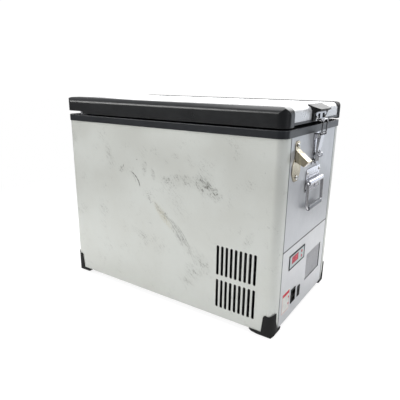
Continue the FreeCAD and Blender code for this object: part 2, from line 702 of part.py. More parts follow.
def fan_shroud():
    """Square fan frame with three arms that carry the motor."""
    half = FAN_R + 6.0
    y0, y1 = FAN_Y
    frame = box(FAN_X - half, FAN_X + half, y0, y1, FAN_Z - half, FAN_Z + half)
    frame = frame.cut(cylinder((FAN_X, y0, FAN_Z), (0, 1, 0), FAN_R + 1.5, y1 - y0))
    frame = frame.cut(fuse([cylinder((FAN_X + sx * (half - 6), y0, FAN_Z + sz * (half - 6)), (0, 1, 0), 2.2,
                                     y1 - y0) for sx in (-1, 1) for sz in (-1, 1)]))
    motor = cylinder((FAN_X, y1 - 6.0, FAN_Z), (0, 1, 0), 17.0, 6.0)
    arms = []
    for i in range(3):
        arm = box(FAN_X + 14.0, FAN_X + FAN_R + 4.0, y1 - 4.0, y1, FAN_Z - 3.0, FAN_Z + 3.0)
        arms.append(arm.rotate(V(FAN_X, 0, FAN_Z), V(0, 1, 0), 30.0 + 120.0 * i))
    shaft = cylinder((FAN_X, y1 - 6.5, FAN_Z), (0, 1, 0), 2.0 + PIN_PLAY, 7.0)
    return fuse([frame, motor] + arms).cut(shaft)


def fan_rotor():
    """Hub, seven pitched blades and the shaft that runs in the motor."""
    y0, y1 = FAN_Y[0] + 3.0, FAN_Y[1] - 6.0 - 0.6
    hub = cylinder((FAN_X, y0, FAN_Z), (0, 1, 0), 18.0, y1 - y0)
    shaft = cylinder((FAN_X, y0 + 2.0, FAN_Z), (0, 1, 0), 2.0, y1 - y0 + 3.5)
    blades = []
    middle = (y0 + y1) / 2
    for i in range(7):
        blade = box(FAN_X + 15.0, FAN_X + FAN_R - 0.5, middle - 0.9, middle + 0.9,
                    FAN_Z - 12.0, FAN_Z + 12.0)
        blade = blade.rotate(V(FAN_X, middle, FAN_Z), V(1, 0, 0), 32.0)
        blades.append(blade.rotate(V(FAN_X, 0, FAN_Z), V(0, 1, 0), 360.0 / 7 * i))
    rim = cylinder((FAN_X, y0, FAN_Z), (0, 1, 0), FAN_R, y1 - y0)
    return fuse([hub, shaft] + blades).common(rim.fuse(shaft))


def refrigerant_tubing():
    """Brazed copper circuit: discharge tube, liquid tube, drier, capillary and suction tube."""
    over = BAY_TOP - 12.0
    tube_z = COND_Z[1] - 16.0
    cond_y = COND_Y[1] - 10.0
    top = COMP_Z + 4.0 + COMP_H
    drier_x, drier_z = BAY_X + 20.0, BAY_TOP - 22.0
    (up_x, up_y, _), (down_x, down_y, _) = riser_places()
    port_x, port_y, port_z = suction_port()
    discharge = rod([(COMP_X + 10.0, COMP_Y, top), (COMP_X + 10.0, COMP_Y, over),
                     (RIGHT - 20.0, COMP_Y, over), (RIGHT - 20.0, cond_y, over),
                     (RIGHT - 20.0, cond_y, tube_z), (COND_X[1] + 4.0, cond_y, tube_z)], 3.0, 5.0)
    liquid = rod([(COND_X[0] - 4.0, cond_y, tube_z), (BAY_X + 3.5, cond_y, tube_z),
                  (BAY_X + 3.5, cond_y, over + 4.0), (BAY_X + 3.5, -50.0, over + 4.0),
                  (drier_x, -50.0, drier_z), (drier_x, -30.0, drier_z)], 2.5, 3.5)
    capillary = rod([(drier_x, 50.0, drier_z), (drier_x, 80.0, drier_z), (up_x, 100.0, drier_z),
                     (up_x, up_y, drier_z), (up_x, up_y, EVAP_Z[0] + 6.0)], 1.5, 6.0)
    suction = rod([(down_x, down_y, EVAP_Z[0] + 6.0), (down_x, down_y, over), (port_x, port_y, over),
                   (port_x, port_y, port_z)], 3.0, 6.0)
    drier = cylinder((drier_x, -30.0, drier_z), (0, 1, 0), 10.0, 80.0)
    drier = drier.makeFillet(5.0, [e for e in drier.Edges if e.Closed])
    return Part.makeCompound([discharge, liquid, drier, capillary, suction])


def power_supply():
    """Mains converter on the pan at the rear of the bay."""
    y1 = REAR - SHEET - 9.0
    body = box(BAY_X + 20.0, RIGHT - 30.0, y1 - 48.0, y1, PAN_TOP, PAN_TOP + 52.0)
    fins = [box(BAY_X + 24.0 + i * 9.0, BAY_X + 26.0 + i * 9.0, y1 - 44.0, y1 - 4.0, PAN_TOP + 52.0,
                PAN_TOP + 58.0) for i in range(14)]
    return fuse([body] + fins)


def interior_light():
    """Small lamp on the cavity's rear wall, near the rim."""
    y = REAR - WALL
    body = box(MID_X - 28.0, MID_X + 28.0, y - 7.0, y, DECK - 46.0, DECK - 28.0)
    front = [e for e in body.Edges if abs(e.CenterOfMass.y - y + 7.0) < 1e-3]
    return body.makeFillet(3.0, front)


# ---------------------------------------------------------------- drop handles
def handle_plate():
    """Back plate with a rolled barrel, and a centre tab with a hole."""
    half = PLATE_W / 2
    low = PLATE_TOP - PLATE_H
    plate = plate_yz([(-half, low), (half, low), (half, PLATE_TOP), (-half, PLATE_TOP)], 7.0,
                     RIGHT, RIGHT + PLATE_T)
    x = RIGHT + BARREL_OFF
    outer = ROD_R + PIN_PLAY + BARREL_WALL
    long = half - 1.0
    barrel = cylinder((x, -long, BAIL_Z), (0, 1, 0), outer, 2 * long)
    barrel = barrel.fuse(box(RIGHT, x, -long, long, BAIL_Z, BAIL_Z + outer))
    tab = plate_yz([(-13.0, BAIL_Z - 20.0), (13.0, BAIL_Z - 20.0), (9.0, BAIL_Z), (-9.0, BAIL_Z)],
                   [4.0, 4.0, 0, 0], x + 1.5, x + 3.3)
    tab = tab.cut(cylinder((x - 1, 0, BAIL_Z - 13.5), (1, 0, 0), 2.6, 8))
    emboss = plate_yz([(-40, PLATE_TOP - 23.0), (40, PLATE_TOP - 23.0), (40, PLATE_TOP - 19.0),
                       (-40, PLATE_TOP - 19.0)], 1.8, RIGHT + PLATE_T, RIGHT + PLATE_T + 1.2)
    solid = fuse([plate, barrel, tab, emboss])
    bore = cylinder((x, -half, BAIL_Z), (0, 1, 0), ROD_R + PIN_PLAY, PLATE_W)
    tools = [bore] + [shank(RIGHT + PLATE_T, y, z) for y, z in handle_screw_places()]
    return cut(solid, tools)


def bail_points():
    x = RIGHT + BARREL_OFF
    foot_x, foot_z = x + BAIL_LEAN, BAIL_Z - BAIL_LEN
    return [(x, -LEG_Y + ROD_R + 30.0, BAIL_Z), (x, -LEG_Y, BAIL_Z), (foot_x, -LEG_Y, foot_z),
            (foot_x, LEG_Y, foot_z), (x, LEG_Y, BAIL_Z), (x, LEG_Y - ROD_R - 30.0, BAIL_Z)]


def handle_bail():
    """Bent rod: two ends in the barrel, two legs and the bar that carries the grip."""
    bends = [0, ROD_R + 0.6, BAIL_BEND, BAIL_BEND, ROD_R + 0.6, 0]
    return rod(bail_points(), ROD_R, bends)


def handle_grip():
    x, z = RIGHT + BARREL_OFF + BAIL_LEAN, BAIL_Z - BAIL_LEN
    tube = ring((x, -GRIP_L / 2, z), (0, 1, 0), GRIP_R, ROD_R, GRIP_L)
    rims = [e for e in tube.Edges if e.Length > 2 * 3.1 * (GRIP_R - 0.1) and abs(e.tangentAt(0).y) < 0.5]
    return tube.makeFillet(1.6, rims)


# ---------------------------------------------------------------- bottle opener
def bottle_opener():
    """Wall plate with two ears, a sloping hood with closed sides and a turned-in lip, and a tooth."""
    y = FRONT + OPENER_Y
    top, low = BODY_TOP - OPENER_TOP, BODY_TOP - OPENER_TOP - OPENER_H
    half, ear, waist = OPENER_W / 2, 12.0, 13.0
    outline = [(ear, low), (half, low + 20.0), (half, low + 38.0), (waist, low + 56.0), (waist + 2.0, top)]
    points = [(y + dy, z) for dy, z in outline] + [(y - dy, z) for dy, z in reversed(outline)]
    radii = [10.0, 9.0, 9.0, 12.0, 12.0]
    wall = plate_yz(points, radii + radii[::-1], RIGHT, RIGHT + OPENER_T)
    hood_z, tip_z, tip_x = top - 19.0, top - 45.0, RIGHT + OPENER_REACH
    lip_x, lip_z = tip_x - 10.5, tip_z - 12.0
    side = HOOD_W / 2
    hood = plate_xz([(RIGHT + 1.0, hood_z), (tip_x, tip_z), (lip_x, lip_z),
                     (lip_x - HOOD_T * 0.8, lip_z + 1.4), (tip_x - 3.4, tip_z - 0.5),
                     (RIGHT + 1.0, hood_z - HOOD_T * 1.25)],
                    [0, 1.2, 0.5, 0.5, 0.8, 0], y - side, y + side)
    cheek = [(RIGHT + 1.0, hood_z - 1.2), (tip_x - 1.6, tip_z - 0.8), (lip_x - 0.4, lip_z + 0.6),
             (RIGHT + 1.0, tip_z - 2.0)]
    cheeks = [plate_xz(cheek, [0, 0.6, 0.6, 0], y0, y0 + HOOD_T) for y0 in (y - side, y + side - HOOD_T)]
    tooth = plate_xz([(RIGHT + 1.0, tip_z + 8.0), (RIGHT + 14.0, tip_z - 6.0), (RIGHT + 12.4, tip_z - 7.6),
                      (RIGHT + 1.0, tip_z + 4.4)], 0.5, y - side + HOOD_T / 2, y + side - HOOD_T / 2)
    solid = fuse([wall, hood, tooth] + cheeks)
    return cut(solid, [shank(RIGHT + OPENER_T, sy, sz) for sy, sz in opener_screw_places()])


# ---------------------------------------------------------------- toggle latch
def latch_base():
    """Base plate with two pivot ears and a padlock staple."""
    top, low = BODY_TOP - LATCH_TOP, BODY_TOP - LATCH_TOP - LATCH_H
    half = LATCH_W / 2
    plate = plate_yz([(-half, low), (half, low), (half, top), (-half, top)], 4.0, RIGHT, RIGHT + PLATE_T)
    ears = []
    for side in (-1, 1):
        y0 = side * (half - 1.0) - 1.0
        ears.append(plate_xz([(RIGHT, PIVOT_Z - 14.0), (PIVOT_X - 3.0, PIVOT_Z - 6.0),
                              (PIVOT_X + 4.2, PIVOT_Z - 4.2), (PIVOT_X + 4.2, PIVOT_Z + 4.2),
                              (PIVOT_X - 5.0, PIVOT_Z + 3.0), (RIGHT, PIVOT_Z + 2.0)],
                             [0, 3.0, 4.0, 4.0, 2.0, 0], y0, y0 + 2.0))
    z = BODY_TOP - STAPLE_Z
    reach = STAPLE_X - RIGHT
    staple = ring((STAPLE_X, -1.5, z), (0, 1, 0), STAPLE_R, STAPLE_R - 2.8, 3.0)
    root = box(RIGHT, RIGHT + reach - STAPLE_R + 2.0, -1.5, 1.5, z - 3.5, z + 3.5)
    root = root.cut(cylinder((STAPLE_X, -2, z), (0, 1, 0), STAPLE_R - 1.4, 4))
    solid = fuse([plate, staple, root] + ears)
    bore = cylinder((PIVOT_X, -half - 2, PIVOT_Z), (0, 1, 0), LATCH_PIN_R + PIN_PLAY, LATCH_W + 4)
    return cut(solid, [bore] + [shank(RIGHT + PLATE_T, y, z) for y, z in latch_screw_places()])


def latch_lever():
    """Pressed lever: a face plate with two cheeks, an eye for the loop, and a slot over the staple."""
    half = LEVER_W / 2
    drop = LEVER_L
    face_x = PIVOT_X + 2.6
    eye_x, eye_z = PIVOT_X + LOOP_PIVOT[0], PIVOT_Z + LOOP_PIVOT[1]
    face = plate_yz([(-half, PIVOT_Z - drop), (half, PIVOT_Z - drop), (half, PIVOT_Z + 1.0),
                     (-half, PIVOT_Z + 1.0)], [5.0, 5.0, 0, 0], face_x, face_x + LEVER_T)
    tip = plate_xz([(face_x, PIVOT_Z - drop + 5.0), (face_x + LEVER_T, PIVOT_Z - drop + 5.0),
                    (face_x + 7.0, PIVOT_Z - drop - 4.0), (face_x + 5.6, PIVOT_Z - drop - 5.2)],
                   0.5, -half + 4.0, half - 4.0)
    cheeks = []
    for side in (-1, 1):
        y0 = side * (half - LEVER_T / 2) - LEVER_T / 2
        cheeks.append(plate_xz([(face_x + LEVER_T, PIVOT_Z - drop + 8.0), (face_x + LEVER_T, PIVOT_Z + 1.0),
                                (eye_x + 3.4, eye_z - 3.0), (eye_x + 3.4, eye_z + 3.2),
                                (eye_x - 3.4, eye_z + 3.2), (PIVOT_X - 4.0, PIVOT_Z + 4.0),
                                (PIVOT_X - 4.2, PIVOT_Z - 6.0), (face_x - 1.0, PIVOT_Z - drop + 14.0)],
                               [1, 1, 2, 3, 3, 3, 3, 1], y0, y0 + LEVER_T))
    solid = fuse([face, tip] + cheeks)
    z = BODY_TOP - STAPLE_Z
    tools = [box(face_x - 1, face_x + LEVER_T + 1, -4.0, 4.0, z - 11.0, z + 11.0),
             cylinder((PIVOT_X, -half - 1, PIVOT_Z), (0, 1, 0), LATCH_PIN_R, LEVER_W + 2),
             cylinder((eye_x, -half - 1, eye_z), (0, 1, 0), WIRE_R + PIN_PLAY, LEVER_W + 2)]
    return cut(solid, tools).rotate(V(PIVOT_X, 0, PIVOT_Z), V(0, 1, 0), LEVER_LEAN)


def latch_pin():
    """Pivot pin that turns in the base's ears, with a head at each end."""
    half = LATCH_W / 2 + 0.4
    pin = cylinder((PIVOT_X, -half, PIVOT_Z), (0, 1, 0), LATCH_PIN_R, 2 * half)
    heads = [cylinder((PIVOT_X, side * half - (1.2 if side < 0 else 0), PIVOT_Z), (0, 1, 0), 3.2, 1.2)
             for side in (-1, 1)]
    return fuse([pin] + heads)


def latch_loop():
    """Wire loop: its lower bar turns in the lever's eye."""
    half = LOOP_W / 2 - WIRE_R
    top_x, top_z = LOOP_X + LOOP_LEAN, LOOP_Z + LOOP_H
    left = rod([(LOOP_X, 0, LOOP_Z), (LOOP_X, -half, LOOP_Z), (top_x, -half, top_z), (top_x, 0, top_z)],
               WIRE_R, [0, 2.6, LOOP_BEND, 0])
    return left.fuse(mirror_y(left)).removeSplitter()


# ---------------------------------------------------------------- lid
def lid_form(inset, z0):
    """The lid's outside, inset evenly: rounded in plan, over the ends and along the sides."""
    x0, x1 = LEFT - LID_OUT + inset, RIGHT + LID_OUT - inset
    y0, y1 = FRONT - LID_OUT + inset, REAR + LID_OUT - inset
    top = TOP - inset
    plan = upright_box(x0, x1, y0, y1, z0, top, CORNER_R + LID_OUT - inset)
    r_end, r_side = LID_END_R - inset, LID_SIDE_R - min(inset, LID_SIDE_R - 2.0)
    ends = plate_xz([(x0, z0), (x1, z0), (x1, top), (x0, top)], [0, 0, r_end, r_end], y0, y1)
    sides = plate_yz([(y0, z0), (y1, z0), (y1, top), (y0, top)], [0, 0, r_side, r_side], x0, x1)
    return plan.common(ends).common(sides)


def notch(grow):
    return box(LEFT - LID_OUT - 1, LEFT + NOTCH_L + grow, FRONT - 10, REAR + 10,
               LID - 1, LID + NOTCH_H + grow)


def lid_front_rail():
    """Moulded rail along the front: outer wall, top wall and bottom flange, open towards the foam."""
    keep = box(LEFT - 10, RIGHT + 10, FRONT - 10, RAIL_EDGE, LID - 1, TOP + 1)
    outer = lid_form(0, LID).cut(notch(0))
    inner = lid_form(RAIL_WALL, LID + RAIL_WALL).cut(notch(RAIL_WALL))
    return outer.cut(inner).common(keep).cut(deck_form(LID - 1.0, LID + TRIM_LIFT + 0.2, FIT))


def lid_top_sheet():
    """Steel sheet between the rails, rolled down over both ends."""
    keep = box(LEFT - 10, RIGHT + 10, RAIL_EDGE + 0.2, -RAIL_EDGE - 0.2, LID + TRIM_H, TOP + 1)
    outer = lid_form(RAIL_PROUD, LID)
    return outer.cut(lid_form(RAIL_PROUD + SHEET, LID)).common(keep)


def lid_end_trim():
    """Dark strip below the sheet's end, right-hand end."""
    y1 = -RAIL_EDGE - 0.2
    face = box(RIGHT + LID_OUT - 3.0, RIGHT + LID_OUT, -y1, y1, LID + TRIM_LIFT, LID + TRIM_H)
    shelf = box(RIGHT - GASKET_IN + 2.0, RIGHT + LID_OUT - 3.0, -y1, y1, LID + TRIM_LIFT,
                LID + TRIM_LIFT + 2.0)
    return face.fuse(shelf)


def plug_form(grow, z0, z1):
    return cavity_form(grow - PLUG_GAP, z0, z1)


def deck_form(z0, z1, grow=0.0):
    return cavity_form(WALL - GASKET_IN + grow, z0, z1)


def lid_inner_liner():
    """White inner moulding: a flat deck and a plug that dips into the cavity."""
    deck = deck_form(LID + 1.0, LID + TRIM_LIFT)
    low = RIM - PLUG_DEPTH
    plug = plug_form(0, low, LID + TRIM_LIFT)
    bottom = [e for e in plug.Edges if abs(e.CenterOfMass.z - low) < 1e-3]
    plug = plug.makeFillet(4.0, bottom)
    return deck.fuse(plug).cut(plug_form(-3.0, low + 3.0, LID + TRIM_LIFT + 1))


def lid_gasket():
    outer = cavity_form(WALL - GASKET_IN, RIM + SEAL_GAP, LID + 1.0)
    inner = cavity_form(WALL - GASKET_IN - GASKET_W, RIM + SEAL_GAP, LID + 1.0)
    return outer.cut(inner)


def lid_foam():
    """Foam between the lid's skins and down into the plug."""
    upper = lid_form(RAIL_WALL + 0.2, LID + RAIL_WALL + 0.2).cut(notch(RAIL_WALL + 0.2))
    solids = upper.cut(box(LEFT - 10, RIGHT + 10, RAIL_EDGE + 0.1, -RAIL_EDGE - 0.1, LID - 1,
                           LID + TRIM_LIFT + 2.2))
    end = box(RIGHT - GASKET_IN - 30.0, RIGHT + 10, FRONT - 1, REAR + 1, LID, LID + RAIL_WALL + 0.3)
    solids = solids.cut(end)
    solids = solids.cut(deck_form(LID - 1.0, LID + TRIM_LIFT + 0.2, FIT))
    plug = plug_form(-3.2, RIM - PLUG_DEPTH + 3.2, LID + TRIM_LIFT + 2.2)
    body = solids.fuse(plug)
    tools = lid_shanks() + [lid_end_trim(), mirror_x(lid_end_trim())]
    for tool in tools:
        body = body.cut(tool)
    return max(body.Solids, key=lambda s: s.Volume)


# ---------------------------------------------------------------- lid bracket and keeper
def lid_bracket():
    """Black moulding over the lid's edge, flaring out into a lip to lift the lid by."""
    face = RIGHT + LID_OUT
    sheet = lid_form(RAIL_PROUD, LID)
    low = LID + 5.0
    outline = [(face - 14.0, TOP + 1.2), (face + BRACKET_OUT, TOP - 11.0),
               (face + BRACKET_OUT - 2.0, TOP - 14.0), (face + BRACKET_WALL + 0.5, TOP - 19.0),
               (face + BRACKET_WALL, low), (face - 2.0, low), (face - 14.0, TOP - 4.0)]
    half = BRACKET_W / 2
    body = plate_xz(outline, [1.0, 1.5, 1.0, 12.0, 1.0, 0, 0], -half, half)
    taper = []
    for side in (-1, 1):
        points = [(face + 1.0, side * half), (face + BRACKET_OUT + 1.0, side * BRACKET_TIP_W / 2),
                  (face + BRACKET_OUT + 1.0, side * (half + 5.0)), (face + 1.0, side * (half + 5.0))]
        taper.append(plate_xy(points, 0, TOP - 20.0, TOP + 5.0))
    seat = box(face + BRACKET_WALL, face + BRACKET_OUT + 2.0, -KEEPER_W / 2 - FIT, KEEPER_W / 2 + FIT,
               low - 1.0, LID + KEEPER_TOP + FIT)
    behind = box(face - 20.0, face, -half - 1.0, half + 1.0, low - 1.0, LID + TRIM_H)
    body = cut(body, [sheet, seat, behind] + taper)
    return max(body.Solids, key=lambda s: s.Volume)


def keeper():
    """Chrome strike: a frame with two windows and an upturned hook for the loop."""
    seat = RIGHT + LID_OUT + BRACKET_WALL
    half = KEEPER_W / 2
    low, high = LID + KEEPER_LOW, LID + KEEPER_TOP
    frame = plate_yz([(-half, low), (half, low), (half, high), (-half, high)], 3.0, seat, seat + KEEPER_T)
    windows = [box(seat - 1, seat + KEEPER_T + 1, y - 8.0, y + 8.0, low + 5.0, high - 4.0)
               for y in (-17.0, 17.0)]
    hook = plate_xz([(seat, low + 4.0), (seat, low - 3.0), (seat + 8.0, low - 3.0), (seat + 8.0, low + 3.0),
                     (seat + 6.2, low + 3.0), (seat + 6.2, low - 1.0), (seat + KEEPER_T, low - 1.0),
                     (seat + KEEPER_T, low + 4.0)], [0, 2.4, 2.4, 0.6, 0.6, 0.8, 0.8, 0], -13.0, 13.0)
    solid = cut(frame, windows).fuse(hook)
    return cut(solid, [shank(seat + KEEPER_T, y, z) for y, z in keeper_rivet_places()])


# ---------------------------------------------------------------- hinges
def knuckle(y0, y1):
    return ring((HINGE_X, y0, HINGE_Z), (0, 1, 0), KNUCKLE_R, HINGE_PIN_R + PIN_PLAY, y1 - y0)


def hinge_leaf(lid_side):
    """One leaf of both hinges: outer knuckles on the cabinet, the middle one on the lid."""
    leaves = []
    third = HINGE_W / 3
    for side in (-1, 1):
        middle = side * HINGE_Y
        y0, y1 = middle - HINGE_W / 2, middle + HINGE_W / 2
        if lid_side:
            seat = LEFT - LID_OUT
            leaf = box(seat - LEAF_T, seat, y0, y1, LID + TRIM_H - 2.0, LID + TRIM_H + 24.0)
            spans = [(middle - third / 2 + SEAL_GAP, middle + third / 2 - SEAL_GAP)]
            arm_z = (HINGE_Z, LID + TRIM_H + 2.0)
            screws = [shank(seat - LEAF_T, y, z, -1) for y, z in lid_leaf_screw_places()]
        else:
            seat = LEFT
            leaf = box(seat - LEAF_T, seat, y0, y1, BODY_TOP - LEAF_H, BODY_TOP - 1.0)
            spans = [(y0, middle - third / 2 - SEAL_GAP), (middle + third / 2 + SEAL_GAP, y1)]
            arm_z = (BODY_TOP - 6.0, HINGE_Z)
            screws = [shank(seat - LEAF_T, y, z, -1) for y, z in hinge_screw_places()]
        pieces = [leaf]
        for a, b in spans:
            x0 = HINGE_X - KNUCKLE_R
            pieces.append(knuckle(a, b))
            pieces.append(box(x0, x0 + LEAF_T, a, b, arm_z[0], arm_z[1]))
            foot = (arm_z[0], arm_z[0] + LEAF_T) if not lid_side else (arm_z[1] - LEAF_T, arm_z[1])
            pieces.append(box(x0, seat - LEAF_T + 0.5, a, b, foot[0], foot[1]))
        solid = fuse(pieces)
        bore = cylinder((HINGE_X, y0 - 1, HINGE_Z), (0, 1, 0), HINGE_PIN_R + PIN_PLAY, HINGE_W + 2)
        leaves.append(cut(solid, [bore] + screws))
    return Part.makeCompound(leaves)


def hinge_pins():
    """Pins held by the cabinet's knuckles, with a head at the outer end."""
    pins = []
    for side in (-1, 1):
        y0 = side * HINGE_Y - HINGE_W / 2 - 1.5
        pin = cylinder((HINGE_X, y0, HINGE_Z), (0, 1, 0), HINGE_PIN_R, HINGE_W + 2.0)
        pins.append(pin.fuse(cylinder((HINGE_X, y0, HINGE_Z), (0, 1, 0), KNUCKLE_R - 0.8, 1.4)))
    return Part.makeCompound(pins)


# ---------------------------------------------------------------- screws
def cabinet_screws():
    screws = [screw(RIGHT + PLATE_T, y, z) for y, z in handle_screw_places() + latch_screw_places()]
    screws += [screw(RIGHT + OPENER_T, y, z, 1, OPENER_HEAD) for y, z in opener_screw_places()]
    screws += [screw(LEFT - PLATE_T, y, z, -1) for y, z in handle_screw_places()]
    screws += [screw(LEFT - LEAF_T, y, z, -1) for y, z in hinge_screw_places()]
    return Part.makeCompound(screws)


def lid_screws():
    seat = RIGHT + LID_OUT + BRACKET_WALL + KEEPER_T
    screws = [screw(seat, y, z) for y, z in keeper_rivet_places()]
    screws += [screw(LEFT - LID_OUT - LEAF_T, y, z, -1) for y, z in lid_leaf_screw_places()]
    return Part.makeCompound(screws)


# ---------------------------------------------------------------- the whole object
def nodes():
    front = front_side_panel()
    foot = corner_foot()
    rail = lid_front_rail()
    trim = lid_end_trim()
    plate, bail, grip = handle_plate(), handle_bail(), handle_grip()
    shanks = lid_shanks()
    made = {
        "front_side_panel": front,
        "rear_side_panel": mirror_y(front),
        "end_panel_left": end_panel_left(),
        "end_panel_right": end_panel_right(),
        "control_cover": control_cover(),
        "base_pan": base_pan(),
        "top_collar": top_collar(),
        "insulation_foam": insulation_foam(),
        "inner_liner": inner_liner(),
        "evaporator": evaporator(),
        "interior_light": interior_light(),
        "corner_foot_front_right": foot,
        "corner_foot_rear_right": mirror_y(foot),
        "corner_foot_front_left": mirror_x(foot),
        "corner_foot_rear_left": mirror_x(mirror_y(foot)),
        "vent_mesh": vent_mesh(),
        "display_bezel": display_bezel(),
        "display_housing": display_housing(),
        "display_window": display_window(),
        "control_board": control_board(),
        "power_socket": power_socket(),
        "socket_pins": socket_pins(),
        "switch_housing": switch_housing(),
        "switch_rocker": switch_rocker(),
        "label_plate": label_plate(),
        "compressor": compressor(),
        "compressor_mounts": compressor_mounts(),
        "compressor_electronics": compressor_electronics(),
        "condenser": condenser(),
        "fan_shroud": fan_shroud(),
        "fan_rotor": fan_rotor(),
        "refrigerant_tubing": refrigerant_tubing(),
        "power_supply": power_supply(),
        "handle_plate_right": plate,
        "handle_bail_right": bail,
        "handle_grip_right": grip,
        "handle_plate_left": mirror_x(plate),
        "handle_bail_left": mirror_x(bail),
        "handle_grip_left": mirror_x(grip),
        "bottle_opener": bottle_opener(),
        "cabinet_screws": cabinet_screws(),
        "latch_base": latch_base(),
        "latch_lever": latch_lever(),
        "latch_pin": latch_pin(),
        "latch_loop": latch_loop(),
        "lid_front_rail": rail,
        "lid_rear_rail": mirror_y(rail),
        "lid_top_sheet": cut(lid_top_sheet(), shanks),
        "lid_end_trims": Part.makeCompound([cut(trim, shanks), cut(mirror_x(trim), shanks)]),
        "lid_inner_liner": lid_inner_liner(),
        "lid_foam": lid_foam(),
        "lid_gasket": lid_gasket(),
        "lid_bracket": cut(lid_bracket(), shanks),
        "keeper": keeper(),
        "lid_screws": lid_screws(),
        "hinge_leaf_cabinet": hinge_leaf(False),
        "hinge_leaf_lid": hinge_leaf(True),
        "hinge_pins": hinge_pins(),
    }
    for name, y, z in button_places():
        made[name] = button(y, z)
    return made


os.makedirs("parts", exist_ok=True)
for name, shape in nodes().items():
    shape.exportStep(f"parts/{name}.step")
    print(name, len(shape.Solids), "valid" if shape.isValid() else "NOT VALID", round(shape.Volume))
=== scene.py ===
from math import cos, pi, radians, sin

import bpy
from mathutils import Matrix, Vector


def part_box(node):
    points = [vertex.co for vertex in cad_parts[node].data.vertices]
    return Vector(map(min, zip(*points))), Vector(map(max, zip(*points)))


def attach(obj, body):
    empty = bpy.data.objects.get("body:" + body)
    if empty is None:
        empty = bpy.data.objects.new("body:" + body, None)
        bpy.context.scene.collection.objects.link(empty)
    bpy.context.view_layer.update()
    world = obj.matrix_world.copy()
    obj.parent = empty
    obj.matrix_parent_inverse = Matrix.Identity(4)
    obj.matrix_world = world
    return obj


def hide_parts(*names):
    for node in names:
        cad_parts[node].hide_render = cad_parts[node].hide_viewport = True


# Looks of a portable compressor fridge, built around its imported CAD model.
# Metres, in the model's own frame: the controls at +X, the front long side at -Y, the floor at z = 0.

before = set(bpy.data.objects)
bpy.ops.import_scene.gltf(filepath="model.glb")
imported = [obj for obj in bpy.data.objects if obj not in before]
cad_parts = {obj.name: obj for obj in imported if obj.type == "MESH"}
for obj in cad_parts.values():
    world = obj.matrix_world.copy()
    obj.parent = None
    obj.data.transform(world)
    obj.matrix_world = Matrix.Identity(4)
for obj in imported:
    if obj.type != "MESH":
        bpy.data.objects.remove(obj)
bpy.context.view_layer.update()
MM = 0.001


# ---------------------------------------------------------------- camera
CAMERA_PLACE = Vector((0.6728, -1.0217, 0.6124))
CAMERA_YAW, CAMERA_PITCH, CAMERA_ROLL = radians(33.65), radians(16.2), radians(0.76)
SENSOR, LENS = 36.0, 36.68


def make_camera():
    """A level camera turned by yaw, tipped down by pitch, then rolled a little."""
    level = cos(CAMERA_PITCH)
    forward = Vector((-sin(CAMERA_YAW) * level, cos(CAMERA_YAW) * level, -sin(CAMERA_PITCH)))
    level_right = Vector((cos(CAMERA_YAW), sin(CAMERA_YAW), 0.0))
    level_up = level_right.cross(forward)
    right = level_right * cos(CAMERA_ROLL) + level_up * sin(CAMERA_ROLL)
    up = level_up * cos(CAMERA_ROLL) - level_right * sin(CAMERA_ROLL)
    data = bpy.data.cameras.new("camera")
    data.sensor_width, data.lens = SENSOR, LENS
    camera = bpy.data.objects.new("camera", data)
    turn = Matrix((right, up, -forward)).transposed()
    camera.matrix_world = Matrix.Translation(CAMERA_PLACE) @ turn.to_4x4()
    bpy.context.scene.collection.objects.link(camera)
    bpy.context.scene.camera = camera


